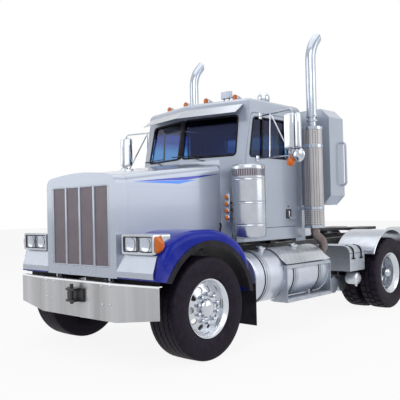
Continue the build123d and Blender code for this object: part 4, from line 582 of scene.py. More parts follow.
def tyreProfile(tread):
    half, extra = tread["grooveHalf"], tread["extra"]
    wall = [(x + extra, r) for x, r in tyre["wall"]]
    edgeX, edgeRadius = tyre["edge"]
    crown = [(-edgeX - extra, edgeRadius)]
    deep = tyre["radius"] - tyre["grooveDepth"]
    for groove in tread["grooves"]:
        lift = tyre["radius"] - 0.003 * (abs(groove) / (tyre["crownHalf"] + extra)) ** 2
        crown += [(groove - half, lift), (groove - half * 0.6, deep)]
        crown += [(groove + half * 0.6, deep), (groove + half, lift)]
    crown.append((edgeX + extra, edgeRadius))
    return [(-x, r) for x, r in wall] + crown + [(x, r) for x, r in reversed(wall)]


def addTyre(bm, centreX, tread):
    part = bmesh.new()
    addSpin(part, tyreProfile(tread), tyre["steps"])

    def stepAt(place):
        return math.degrees(math.atan2(place.y, place.z)) % 360 / 360 * tyre["steps"]

    for vert in part.verts:  # each groove wanders from side to side, step by step
        if any(abs(abs(vert.co.x) - abs(groove)) < 1.1 * tread["grooveHalf"] for groove in tread["grooves"]):
            vert.co.x += tyre["zigzag"] * (1 if round(stepAt(vert.co)) % 2 else -1)
    part.normal_update()
    cut = []
    for face in part.faces:
        middle = face.calc_center_median()
        radius, outside = math.hypot(middle.y, middle.z), abs(middle.x) > tyre["crownHalf"] + tread["extra"]
        inGroove = radius < tyre["radius"] - 0.011 and not outside
        if radius < tread["cutAbove"] or inGroove or not (outside or tread["cutCrown"]):
            continue
        if int(stepAt(middle) + (tread["stagger"] if middle.x > 0 else 0)) % tread["cutEvery"] == 0:
            cut.append(face)
    bmesh.ops.recalc_face_normals(part, faces=part.faces)
    for vert in vertsOf(bmesh.ops.extrude_face_region(part, geom=cut)["geom"]):
        share = 1 - tread["cutDepth"] / math.hypot(vert.co.y, vert.co.z)
        vert.co.y *= share
        vert.co.z *= share
    bmesh.ops.delete(part, geom=cut, context="FACES_ONLY")
    settle(bm, part, (centreX, 0, 0))


rim = {
    "holes": 10, "holeRadius": 0.031, "holeCircle": 0.197, "holeSteps": 16, "reach": 0.044, "hub": 0.105,
    "face": 0.145, "thickness": 0.02, "flat": 0.156, "nutCircle": 0.1429,
    "outer": ((0.118, 0.304), (0.1135, 0.3045), (0.108, 0.3), (0.1055, 0.2935), (0.1053, 0.2862), (0.094, 0.284),
              (0.076, 0.262), (0.0525, 0.2515)),
    "inner": ((0.0525, 0.24), (0.1, 0.272), (0.118, 0.292)), "top": 0.3,
}


def addDisc(bm, centreX, edgeX, hubX, edgeRadius):
    # one hole's rim grows out to a patch of the ring, and ten patches make the disc
    part = bmesh.new()
    half = math.pi / rim["holes"]
    bmesh.ops.create_circle(part, segments=rim["holeSteps"], radius=rim["holeRadius"])
    ring = {vert: index for index, vert in enumerate(part.verts)}
    start, patch = [], []
    for vert in ring:
        across, widest = math.atan2(vert.co.y, vert.co.x), max(abs(vert.co.x), abs(vert.co.y)) / rim["holeRadius"]
        radius = rim["holeCircle"] + rim["reach"] * math.cos(across) / widest
        turn = half * math.sin(across) / widest
        start.append(Vector((0, rim["holeCircle"] + vert.co.x, vert.co.y)))
        patch.append(Vector((0, radius * math.cos(turn), radius * math.sin(turn))))
    for vert, index in ring.items():
        vert.co = start[index]
    for share in (0.2, 0.6, 1.0):
        edges = [edge for edge in part.edges if all(v in ring for v in edge.verts)]
        grown = {}
        for vert in vertsOf(bmesh.ops.extrude_edge_only(part, edges=edges)["geom"]):
            below = next(e.other_vert(vert) for e in vert.link_edges if e.other_vert(vert) in ring)
            grown[vert] = ring[below]
        ring = grown
        for vert, index in ring.items():
            vert.co = start[index].lerp(patch[index], share)
    bmesh.ops.spin(part, geom=part.verts[:] + part.edges[:] + part.faces[:], axis=(1, 0, 0), cent=(0, 0, 0),
                   angle=math.tau * (rim["holes"] - 1) / rim["holes"], steps=rim["holes"] - 1, use_duplicate=True)
    bmesh.ops.remove_doubles(part, verts=part.verts, dist=0.0002)
    for inward, target in ((True, rim["face"]), (True, rim["hub"]), (False, edgeRadius)):
        edges = []
        for edge in part.edges:
            radius = sum(math.hypot(v.co.y, v.co.z) for v in edge.verts) / 2
            hole = abs(radius - rim["holeCircle"]) < rim["holeRadius"] + 0.002
            if edge.is_boundary and not hole and (radius < rim["holeCircle"]) == inward:
                edges.append(edge)
        for vert in vertsOf(bmesh.ops.extrude_edge_only(part, edges=edges)["geom"]):
            radius = math.hypot(vert.co.y, vert.co.z)
            vert.co.y *= target / radius
            vert.co.z *= target / radius
    for vert in part.verts:
        share = (math.hypot(vert.co.y, vert.co.z) - rim["flat"]) / (edgeRadius - rim["flat"])
        share = min(1, max(0, share))
        vert.co.x = hubX + (edgeX - hubX) * share * share * (3 - 2 * share)
    bmesh.ops.recalc_face_normals(part, faces=part.faces)
    if sum(face.normal.x * face.calc_area() for face in part.faces) <= 0:
        bmesh.ops.reverse_faces(part, faces=part.faces)
    part.normal_update()
    bmesh.ops.solidify(part, geom=part.faces[:], thickness=rim["thickness"])
    part.normal_update()
    sharp = [e for e in part.edges if len(e.link_faces) == 2 and e.calc_face_angle() > math.radians(60)]
    bevelEdges(part, sharp, 0.003, 2)
    settle(bm, part, (centreX, 0, 0))


def addBarrel(bm, centreX, extra=0):
    outer = [(x + extra * (x > 0.06), r) for x, r in rim["outer"]]
    outer += [(-x, r) for x, r in reversed(outer)]
    inner = [(x + extra * (x > 0.06), r) for x, r in rim["inner"]]
    inner = [(-x, r) for x, r in reversed(inner)] + inner
    addSpin(bm, [(x + centreX, min(r, rim["top"])) for x, r in [*outer, *inner, outer[0]]], 72)


def addNuts(bm, faceX, radius, length):
    for turn in range(rim["holes"]):
        angle = math.tau * (turn + 0.5) / rim["holes"]
        y, z = rim["nutCircle"] * math.cos(angle), rim["nutCircle"] * math.sin(angle)
        addRod(bm, (faceX, y, z), (faceX + length * 0.25, y, z), radius * 1.18, 12)
        addRod(bm, (faceX, y, z), (faceX + length, y, z), radius, 6 if radius < 0.019 else 16)
        addDome(bm, (faceX + length, y, z), outward, radius * 0.93, radius * 0.5)


wheelSets = {  # discs: centre, edge, hub and outer radius; nuts: face, radius and length
    "steer": {"tyresX": (1.025,), "tread": tyre["ribbed"], "discs": ((1.025, 0.08, 0.114, 0.25),),
              "drum": ((0.985, 0.038), (0.985, 0.105), (1.14, 0.105), (1.142, 0.1)), "nuts": (1.138, 0.02, 0.05),
              "cover": ((1.139, 0.103), (1.145, 0.1), (1.149, 0.098), (1.163, 0.097), (1.175, 0.092), (1.185, 0.083),
                        (1.193, 0.071), (1.199, 0.056), (1.203, 0.038), (1.205, 0.02), (1.2055, 0))},
    "drive": {"tyresX": (0.737, 1.08), "tread": tyre["lugged"],
              "discs": ((1.08, -0.096, -0.1495, 0.272), (0.737, 0.118, 0.1715, 0.272)),
              "drum": ((0.64, 0.038), (0.64, 0.105), (1.0, 0.105), (1.01, 0.1)), "nuts": (0.9305, 0.0165, 0.04),
              "cover": ((1.0, 0.1), (1.012, 0.1), (1.016, 0.094), (1.06, 0.09), (1.07, 0.086), (1.072, 0.07),
                        (1.13, 0.066), (1.16, 0.06), (1.18, 0.045), (1.188, 0.025), (1.19, 0))},
}


def makeWheel(kind, hand, axleY, tag, cadTag):
    w = wheelSets[kind]
    tyres, rims, covers = bmesh.new(), bmesh.new(), bmesh.new()
    for x in w["tyresX"]:
        addTyre(tyres, x, w["tread"])
        addBarrel(rims, x, w["tread"]["extra"])
    for disc in w["discs"]:
        addDisc(rims, *disc)
    addSpin(rims, w["drum"], 48)
    addSpin(covers, w["cover"], 48)
    addNuts(covers, *w["nuts"])
    for part in (tyres, rims, covers):
        bmesh.ops.scale(part, vec=(hand, 1, 1), verts=part.verts)
        bmesh.ops.translate(part, vec=(0, axleY, truck["axleZ"]), verts=part.verts)
    finish(tyres, f"treadTyre{tag}", "tyreRubber", f"wheel{cadTag}", 28, f"tyre{cadTag}")
    finish(rims, f"holedRim{tag}", "rimMetal", f"wheel{cadTag}", 30, f"rim{cadTag}")
    finish(covers, f"hubCover{tag}", "chrome", f"wheel{cadTag}")


for side, hand in truck["handNames"]:
    makeWheel("steer", hand, truck["frontAxleY"], f"Front_{side}", f"_front_{side}")
    for order, axleY in zip(("first", "second"), truck["driveAxlesY"]):
        makeWheel("drive", hand, axleY, f"s_{order}_{side}", f"s_{order}_{side}")
print("wheels done")


# Grille: a pale frame with three bars in front of four screens, riveted round the opening

grille = {
    "halfX": 0.4995, "lowZ": 0.9645, "highZ": 1.8035, "frontY": -0.71, "rim": 0.012, "bar": 0.03, "depth": 0.033,
    "screenY": -0.698, "rivet": 0.0045, "rivetPitch": 0.058, "rivetOut": 0.018,
}


def makeGrille():
    g = grille
    middleZ, tall = (g["lowZ"] + g["highZ"]) / 2, g["highZ"] - g["lowZ"]
    pitch = (2 * g["halfX"] - g["rim"]) / 4
    y = g["frontY"] + g["depth"] / 2
    bm, screens, rivets = bmesh.new(), bmesh.new(), bmesh.new()
    for z in (g["lowZ"] + g["rim"] / 2, g["highZ"] - g["rim"] / 2):
        addBox(bm, at(0, y, z), (2 * g["halfX"], g["depth"], g["rim"]), 0.004)
    for i in range(5):  # the outer two stand at the opening's edges
        addBox(bm, at(pitch * (i - 2), y, middleZ), (g["bar"], g["depth"], tall - 0.01), 0.005)
    for i in range(4):
        place = at(pitch * (i - 1.5), g["screenY"], middleZ)
        addBox(screens, place, (pitch - g["bar"] + 0.008, 0.004, tall - 1.6 * g["rim"]), 0.001, 1)
    outX, lowZ, highZ = g["halfX"] + g["rivetOut"], g["lowZ"] - g["rivetOut"], g["highZ"] + g["rivetOut"]
    corners = [at(x, g["frontY"], z) for x, z in ((-outX, lowZ), (outX, lowZ), (outX, highZ), (-outX, highZ))]
    for start, end in zip(corners, corners[1:] + corners[:1]):
        for place in rowOf(start, end, g["rivetPitch"])[:-1]:
            addDome(rivets, place, ahead, g["rivet"], g["rivet"] * 0.6, 8)
    finish(bm, "grilleFrame", "bodyPaint", "hood", 40, "grille")
    finish(screens, "grilleScreens", "grilleMesh", "hood", 40, "grille")
    finish(rivets, "grilleRivets", "bodyPaint", "hood", 60)


makeGrille()


# Hood trim: rivet rows along its sides, bolts on the guards, and rubber straps at its rear corners

hoodTrim = {
    "frontY": -0.56, "rearY": 0.712, "frontX": 0.609, "rearX": 0.75, "pitch": 0.044, "rivet": 0.0042,
    "rows": ((-0.53, 1.776, 0.68, 1.776), (-0.535, 1.34, -0.535, 1.86), (0.69, 1.42, 0.69, 1.94)),
    "boltsX": (0.72, 0.9, 1.08), "boltY": -0.707, "boltZ": 0.892, "bolt": (0.008, 0.006),
    "strap": ((0.753, 0.7, 1.37), (0.775, 0.69, 1.35), (0.775, 0.66, 1.26), (0.748, 0.65, 1.24)),
    "strapRadius": 0.011,
}


def hoodX(y):
    h = hoodTrim
    return h["frontX"] + (h["rearX"] - h["frontX"]) * (y - h["frontY"]) / (h["rearY"] - h["frontY"])


def makeHoodTrim():
    h = hoodTrim
    rivets, straps = bmesh.new(), bmesh.new()
    for y1, z1, y2, z2 in h["rows"]:
        for place in rowOf(at(hoodX(y1), y1, z1), at(hoodX(y2), y2, z2), h["pitch"]):
            addDome(rivets, place, (1, -0.11, 0), h["rivet"], h["rivet"] * 0.6, 8)
    for x in h["boltsX"]:
        addDome(rivets, at(x, h["boltY"], h["boltZ"]), (0, -1, 0.2), *h["bolt"])
    addPipe(straps, [at(*place) for place in h["strap"]], h["strapRadius"], 0.03, 8)
    bothHands(rivets, straps)
    finish(rivets, "hoodRivets", "bodyPaint", "hood", 60)
    finish(straps, "hoodStraps", "blackRubber", "hood")


makeHoodTrim()


# Headlamps: two lenses over reflectors in each pod, with an amber turn lamp outboard

lamps = {
    "x": (0.7924, 1.0086), "z": 1.204, "halfWidth": 0.0961, "halfHeight": 0.0707, "frontY": -0.6837, "gasket": 0.005,
    "bowl": ((0.0, 0.0), (0.0005, 0.02), (0.002, 0.045), (0.005, 0.066)), "turnAt": (1.1323, -0.64, 1.204),
    "turnSize": (0.1, 0.172), "turnTip": (0.03, 0.046), "turnRoot": 0.006, "turnLength": 0.088, "turnBase": 0.008,
}


def makeHeadlamps():
    h = lamps
    lenses, gaskets, bowls = bmesh.new(), bmesh.new(), bmesh.new()
    y, z, halfW, halfH = h["frontY"], h["z"], h["halfWidth"], h["halfHeight"]
    for x in h["x"]:
        addBox(lenses, at(x, y, z), (2 * halfW, 0.006, 2 * halfH), 0.0025, 1)
        corners = [at(x + i * halfW, y, z + j * halfH) for i, j in ((-1, -1), (1, -1), (1, 1), (-1, 1))]
        addLoop(gaskets, corners, h["gasket"], 0.02)
        addLathe(bowls, h["bowl"], at(x, y + 0.0095, z), ahead, 28)
        addBox(bowls, at(x, y + 0.0098, z), (2 * halfW, 0.001, 2 * halfH))
    bothHands(lenses, gaskets, bowls)
    finish(lenses, "headlampLenses", "lampGlass", "hood", 40, "lamp_lenses")
    finish(gaskets, "headlampGaskets", "blackRubber", "hood", 50)
    finish(bowls, "headlampReflectors", "chrome", "hood", 30)


def makeTurnLamps():
    h = lamps
    bm, base = bmesh.new(), bmesh.new()
    bmesh.ops.create_cube(bm, size=1)
    for vert in bm.verts:  # the outer end is drawn in to a small face
        tip = vert.co.x > 0
        deep, tall = h["turnTip"] if tip else h["turnSize"]
        vert.co = (h["turnLength"] if tip else h["turnRoot"], vert.co.y * deep, vert.co.z * tall)
    bevelEdges(bm, bm.edges[:], 0.014, 3)
    bmesh.ops.translate(bm, vec=at(*h["turnAt"]), verts=bm.verts)
    (deep, tall), more = h["turnSize"], h["turnBase"]
    addBox(base, at(*h["turnAt"]) + Vector((0.002, 0, 0)), (0.012, deep + more, tall + more), 0.004)
    bothHands(bm, base)
    finish(bm, "turnLamps", "amber", "hood", 40, "lamp_lenses")
    finish(base, "turnLampBases", "chrome", "hood")


makeHeadlamps()
makeTurnLamps()


# Windows: rubber round each pane, a divider, wipers, and the bar of the quarter light

glazing = {
    "foot": (0, 0.815, 2.1), "sweep": 0.2313, "rake": 0.2075, "paneX": (0.028, 0.776), "paneZ": (0.072, 0.568),
    "bead": 0.0125, "corner": 0.045, "divider": (0.05, 0.022),
    "rear": ((-0.43, 2.251, 2.19), (0.43, 2.251, 2.19), (0.43, 2.251, 2.56), (-0.43, 2.251, 2.56)),
    "wipers": ((1, 0.36, 0.12), (-1, 0.4, 0.66)), "wiperZ": (0.012, 0.1), "blade": 0.24,
}
doors = {
    "glass": ((1.892, 2.152), (1.892, 2.632), (1.206, 2.632), (1.112, 2.152)), "glassX": 0.882,
    "quarter": ((0.866, 1.375, 2.155), (0.866, 1.405, 2.63)),
    "handleAt": (0.885, 1.883, 1.454), "handleSize": (0.014, 0.108, 0.118), "lockZ": 1.548,
    "pullAt": (0.897, 1.875, 1.454), "pullSize": (0.02, 0.026, 0.078),
}


def makeGlazing():
    g = glazing
    out = Vector((g["sweep"], -1, g["rake"])).normalized()
    across = Vector((1, g["sweep"], 0)).normalized()
    alongPane = out.cross(across).normalized()

    def onPane(x, z, proud=0.0):
        return at(*g["foot"]) + across * x + alongPane * z + out * proud

    (x1, x2), (z1, z2) = g["paneX"], g["paneZ"]
    rubber, wipers = bmesh.new(), bmesh.new()
    addLoop(rubber, [onPane(x1, z1), onPane(x2, z1), onPane(x2, z2), onPane(x1, z2)], g["bead"], g["corner"])
    bothHands(rubber)
    addBox(rubber, (onPane(0, z1) + onPane(0, z2)) / 2 + Vector((0, -0.002, 0)), (*g["divider"], z2 - z1), 0.006, 2,
           Matrix.Rotation(-math.atan(g["rake"]), 3, "X"))
    addLoop(rubber, [at(*place) for place in g["rear"]], g["bead"], g["corner"])
    lowZ, highZ = g["wiperZ"]
    for hand, baseX, tipX in g["wipers"]:
        base, tip = onPane(baseX, lowZ, 0.03), onPane(tipX, highZ, 0.016)
        base.x, tip.x = hand * base.x, hand * tip.x
        addRod(wipers, base, tip, 0.006, 8, 0.004)
        middle = tip - (tip - base).normalized() * 0.01
        side = Vector((hand * across.x, across.y, 0)) * g["blade"]
        addRod(wipers, middle - side, middle + side, 0.006, 6)
        addRod(wipers, base - out * 0.03, base + out * 0.01, 0.017, 12, 0.014)
    finish(rubber, "windowRubbers", "blackRubber", "chassis", 50)
    finish(wipers, "wipers", "blackPaint", "chassis", 50)


def makeDoorTrim():
    d = doors
    for side, hand in truck["handNames"]:
        rubber, handle, pull = bmesh.new(), bmesh.new(), bmesh.new()
        corners = [at(hand * d["glassX"], y, z) for y, z in d["glass"]]
        addLoop(rubber, corners, glazing["bead"] * 0.8, glazing["corner"])
        low, high = [at(hand * x, y, z) for x, y, z in d["quarter"]]
        addRod(rubber, low, high, 0.013, 10)
        x, y, z = d["handleAt"]
        addBox(handle, at(hand * x, y, z), d["handleSize"], 0.006, 3)
        lock = [at(hand * (x - depth), y - 0.003, d["lockZ"]) for depth in (0.006, 0.001)]
        addRod(handle, *lock, 0.012, 16)
        x, y, z = d["pullAt"]
        addBox(pull, at(hand * x, y, z), d["pullSize"], 0.008, 3)
        finish(rubber, f"doorRubber_{side}", "blackRubber", f"door_{side}", 50)
        finish(handle, f"doorHandle_{side}", "blackPaint", f"door_{side}")
        finish(pull, f"doorPull_{side}", "chrome", f"door_{side}")


makeGlazing()
makeDoorTrim()


# Mirrors: a two-part chromed head on tubes, glass behind, a round mirror and an amber ball below

mirror = {
    "x": 1.452, "y": 1.18, "lowZ": 2.19, "highZ": 2.6, "width": 0.212, "depth": 0.072, "narrow": 0.062, "gap": 0.008,
    "rootX": 0.884, "highRoot": (1.33, 2.65), "lowRoot": (1.26, 2.126), "tube": 0.011, "bowlAt": (1.512, 1.202, 2.12),
    "bowl": ((0.0, 0.06), (0.004, 0.083), (0.012, 0.083), (0.03, 0.074), (0.046, 0.052), (0.056, 0.025), (0.059, 0)),
    "bowlGlass": ((0, 0.076), (0.003, 0.07), (0.006, 0.04), (0.007, 0)),
    "ballX": 1.415, "ballZ": 2.045, "ball": 0.047,
}


def makeMirror(side, hand):
    m = mirror
    head, glass, ball = bmesh.new(), bmesh.new(), bmesh.new()
    x, y, z, tall = m["x"], m["y"], (m["lowZ"] + m["highZ"]) / 2, m["highZ"] - m["lowZ"]
    (highY, highZ), (lowY, lowZ), root = m["highRoot"], m["lowRoot"], m["rootX"]
    wide, left = m["width"] - m["narrow"] - m["gap"], x - m["width"] / 2
    wideX, narrowX = hand * (left + wide / 2), hand * (left + wide + m["gap"] + m["narrow"] / 2)
    addBox(head, at(wideX, y, z), (wide, m["depth"], tall), 0.024, 4)
    addBox(head, at(narrowX, y, z), (m["narrow"], m["depth"] * 0.9, tall * 0.97), 0.02, 4)
    arm = ((root, highY, highZ), (x, y, highZ), (x, y, lowZ), (root, lowY, lowZ))
    upright = ((root + 0.2, 1.27, highZ), (root + 0.2, 1.24, lowZ))
    brace = ((root + 0.21, 1.27, highZ - 0.02), (x - 0.05, y + 0.01, lowZ + 0.02))
    for run, radius, bend, sides in ((arm, 1, 0.05, 12), (upright, 0.8, 0.02, 10), (brace, 0.8, 0.02, 10)):
        addPipe(head, [at(hand * px, py, pz) for px, py, pz in run], m["tube"] * radius, bend, sides)
    for footY, footZ in (m["highRoot"], m["lowRoot"]):
        addBox(head, at(hand * 0.886, footY, footZ), (0.012, 0.06, 0.075), 0.004)
    bowlX, bowlY, bowlZ = m["bowlAt"]
    addLathe(head, m["bowl"], at(hand * bowlX, bowlY, bowlZ), ahead)
    addBox(glass, at(wideX, y + m["depth"] / 2 - 0.001, z), (wide - 0.024, 0.004, tall - 0.03), 0.0015, 1)
    addLathe(glass, m["bowlGlass"], at(hand * bowlX, bowlY, bowlZ), rearward)
    addBall(ball, at(hand * m["ballX"], y, m["ballZ"]), m["ball"], 24, 14)
    addRod(ball, at(hand * m["ballX"], y, m["ballZ"]), at(hand * m["ballX"], y, lowZ), 0.009, 10)
    finish(head, f"mirrorHead_{side}", "chrome", f"door_{side}", 40, f"mirror_{side}")
    finish(glass, f"mirrorGlass_{side}", "mirrorGlass", f"door_{side}")
    finish(ball, f"mirrorLamp_{side}", "amber", f"door_{side}", 60, f"mirror_{side}")


for side, hand in truck["handNames"]:
    makeMirror(side, hand)


# Lamps on the roof, cowl and tail; profiles are along the lamp and share of its radius

roofLamps = {
    "x": (-0.58, -0.18, 0.18, 0.58), "y": 1.085, "sweep": 0.2313, "z": 2.9103, "radius": 0.038,
    "lens": ((0.014, 0.96), (0.006, 0.97), (0.002, 0.7), (0, 0)), "foot": (0.03, 0.11, 0.016),
    "body": ((0.012, 0.98), (0.03, 1), (0.07, 0.92), (0.114, 0.66), (0.1615, 0.4), (0.19, 0)),
}
cowlLamps = {
    "x": 0.86, "y": 0.7, "z": 1.548, "pitch": 0.08, "radius": 0.034, "count": 4, "bar": 0.026, "barX": 0.905,
    "dome": ((-0.002, 0.8), (0.008, 0.8), (0.017, 0.62), (0.0255, 0)),
    "ring": ((0, 0.8), (0, 1), (0.006, 1), (0.009, 0.8)),
}
tailLamps = {
    "at": (0.3, 6.0, 0.924), "radius": 0.052,
    "lens": ((-0.0295, 0), (-0.0295, 1), (-0.006, 1), (-0.001, 0.8), (0, 0)),
    "ring": ((-0.008, 1), (-0.008, 1.16), (-0.003, 1.12), (-0.004, 1)),
}


def addLampProfile(bm, profile, radius, place, direction, steps=24):
    addLathe(bm, [(along, share * radius) for along, share in profile], place, direction, steps)


def makeLamps():
    r, c, t = roofLamps, cowlLamps, tailLamps
    chromed, amber, dark, red = bmesh.new(), bmesh.new(), bmesh.new(), bmesh.new()
    for x in r["x"]:
        place = at(x, r["y"] + r["sweep"] * abs(x), r["z"])
        addLampProfile(chromed, r["body"], r["radius"], place, (0, 1, -0.07))
        addBox(chromed, place + Vector((0, 0.06, -0.022)), r["foot"], 0.004)
        addLampProfile(amber, r["lens"], r["radius"], place, rearward)
    for hand in (1, -1):
        for i in range(c["count"]):
            place = at(hand * c["x"], c["y"], c["z"] + c["pitch"] * (i - (c["count"] - 1) / 2))
            addLampProfile(amber, c["dome"], c["radius"], place, ahead)
            addLampProfile(chromed, c["ring"], c["radius"], place, ahead)
        size = (c["radius"] * 2.1, 0.006, c["pitch"] * c["count"] * 1.03)
        addBox(chromed, at(hand * c["x"], c["y"] + 0.004, c["z"]), size, 0.002, 1)
        for shift in (-0.5, 0.5):
            z = c["z"] + c["pitch"] * shift + c["bar"] / 2
            addBox(dark, at(hand * c["barX"], c["y"] + 0.016, z), (0.1, 0.02, c["bar"]), 0.003, 1)
        x, y, z = t["at"]
        addLampProfile(red, t["lens"], t["radius"], at(hand * x, y, z), rearward, 32)
        addLampProfile(dark, t["ring"], t["radius"], at(hand * x, y, z), rearward, 32)
    finish(amber, "amberLamps", "amber", "chassis", 40, "marker_lamps")
    finish(chromed, "lampHousings", "chrome", "chassis", 40, "marker_lamps")
    finish(dark, "lampBrackets", "blackPaint")
    finish(red, "tailLamps", "redLens", "chassis", 40, "marker_lamps")


makeLamps()
print("front, windows, mirrors and lamps done")


# Roof: a box lamp on two stalks, a low dome and a chromed ball on its foot

roofItems = {
    "roofZ": 2.87, "boxAt": (0, 1.76, 3.09), "boxSize": (0.17, 0.06, 0.1), "stalkX": 0.045, "stalk": 0.009,
    "domeAt": (-0.45, 1.36), "dome": (0.09, 0.075), "ballAt": (0.55, 1.86, 2.976), "ball": 0.084,
}


def makeRoofItems():
    r = roofItems
    pale, dark, chromed = bmesh.new(), bmesh.new(), bmesh.new()
    x, y, z = r["boxAt"]
    addBox(pale, at(x, y, z), r["boxSize"], 0.012, 3)
    low, high = r["roofZ"], z - r["boxSize"][2] / 2 + 0.005
    for near in (-r["stalkX"], r["stalkX"]):
        spread = x + near * 1.8
        addPipe(dark, [at(spread, y, low), at(x + near, y, low + 0.07), at(x + near, y, high)], r["stalk"], 0.03, 12)
        addBox(dark, at(spread, y, low + 0.006), (0.04, 0.05, 0.012), 0.003)
    addDome(pale, at(*r["domeAt"], low), upward, *r["dome"], 28)
    x, y, z = r["ballAt"]
    addBall(chromed, at(x, y, z), r["ball"], 32, 20)
    addRod(dark, at(x, y, low), at(x, y, low + 0.014), 0.042, 20, 0.036)
    addRod(dark, at(x, y, low + 0.012), at(x, y, z - r["ball"] * 0.9), 0.014, 12)
    finish(pale, "roofLampBox", "bodyPaint", "chassis", 50)
    finish(dark, "roofStalks", "blackPaint", "chassis", 50)
    finish(chromed, "roofBall", "chrome", "chassis", 60)


makeRoofItems()


# Air cleaners: a rolled cap, a slotted intake, banded canister and a turned-in foot

cleaner = {
    "x": 1.05, "y": 0.862, "radius": 0.19, "lowZ": 1.197, "highZ": 2.03, "slots": 44, "slotZ": (1.893, 1.972),
    "bandZ": (1.35, 1.6, 1.862), "bracketX": 0.868, "bracketZ": (1.425, 1.855),
    "foot": ((0, -0.05), (0.004, -0.028), (0.014, -0.01), (0.03, 0)),  # up from the lowest, out from the radius
    "rolled": ((-0.016, 0), (-0.013, 0.005), (-0.004, 0.005), (0, 0.002), (0.004, 0.005), (0.013, 0.005), (0.016, 0)),
    "cap": ((-0.03, 0.004), (-0.014, -0.004), (-0.004, -0.02), (-0.001, -0.05)),
}


def makeCleaner(side, hand):
    c = cleaner
    r, low, high, (z1, z2) = c["radius"], c["lowZ"], c["highZ"], c["slotZ"]
    place = at(hand * c["x"], c["y"], 0)
    profile = [(low, 0)] + [(low + z, r + out) for z, out in c["foot"]]
    for middle in c["bandZ"]:
        profile += [(middle + z, r + out) for z, out in c["rolled"]]
    profile += [(z1, r), (z1, r - 0.006), (z2, r - 0.006), (z2, r + 0.003)]
    profile += [(high + z, r + out) for z, out in c["cap"]] + [(high, 0)]
    bm, screen = bmesh.new(), bmesh.new()
    addLathe(bm, profile, place, upward, 64)
    for i in range(c["slots"]):
        turn = Matrix.Rotation(math.tau * i / c["slots"], 3, "Z")
        addBox(bm, place + turn @ Vector((r - 0.004, 0, 0)) + Vector((0, 0, (z1 + z2) / 2)),
               (0.007, 0.0055, z2 - z1), turn=turn)
    for z in c["bracketZ"]:
        addBox(bm, at(hand * c["bracketX"], c["y"], z), (0.06, 0.04, 0.05), 0.004)
    depth = r - 0.0055
    addLathe(screen, [(z1, depth - 0.004), (z1, depth), (z2, depth), (z2, depth - 0.004)], place, upward, 64)
    finish(bm, f"intakeCanister_{side}", "polished", "chassis", 40, "air_cleaners")
    finish(screen, f"intakeScreen_{side}", "grilleMesh")


for side, hand in truck["handNames"]:
    makeCleaner(side, hand)


# Exhausts: a perforated shield round each muffler, clamps, and a pipe cut on the slant

stack = {
    "x": 1.05, "y": 2.225, "pipe": 0.067, "neck": 0.052, "shield": 0.127, "lowZ": 1.262, "highZ": 2.575,
    "collarZ": 2.7, "bendZ": 3.6, "tip": (0.215, 0.215), "cutAt": 0.8, "cutWay": (0, 0.96, 0.28), "open": 0.16,
    "endBand": 0.004, "clampZ": (1.52, 2.32), "clampBand": 0.005, "clampX": 0.965, "boltX": 0.065,
    "elbow": 0.056, "elbowY": 2.425, "elbowZ": (1.292, 1.19, 1.075, 0.945), "elbowEndX": 0.4305,
}


def makeTipPipe(x, y):
    # the pipe's bent top, cut on the slant, with a lip and an inner wall that leave it open
    t = stack
    pipe = bmesh.new()
    (back, rise), bendZ = t["tip"], t["bendZ"]
    addPipe(pipe, [at(x, y, t["collarZ"]), at(x, y, bendZ), at(x, y + back, bendZ + rise)], t["pipe"], 0.22, 32)
    cutAt = at(x, y + back * t["cutAt"], bendZ + rise * t["cutAt"])
    bmesh.ops.bisect_plane(pipe, geom=pipe.verts[:] + pipe.edges[:] + pipe.faces[:], plane_co=cutAt,
                           plane_no=Vector(t["cutWay"]).normalized(), clear_outer=True)
    edges = [e for e in pipe.edges if e.is_boundary and e.verts[0].co.z > bendZ]
    lip = bmesh.ops.extrude_edge_only(pipe, edges=edges)["geom"]
    lipVerts = vertsOf(lip)
    middle = sum((v.co for v in lipVerts), Vector()) / len(lipVerts)
    for vert in lipVerts:
        vert.co = middle + (vert.co - middle) * 0.93
    walls = bmesh.ops.extrude_edge_only(pipe, edges=[g for g in lip if isinstance(g, bmesh.types.BMEdge)])["geom"]
    inward = Vector((0, -back, -rise)).normalized()
    bmesh.ops.translate(pipe, vec=inward * t["open"], verts=vertsOf(walls))
    bmesh.ops.holes_fill(pipe, edges=[e for e in pipe.edges if e.is_boundary], sides=0)
    bmesh.ops.recalc_face_normals(pipe, faces=pipe.faces)
    return pipe


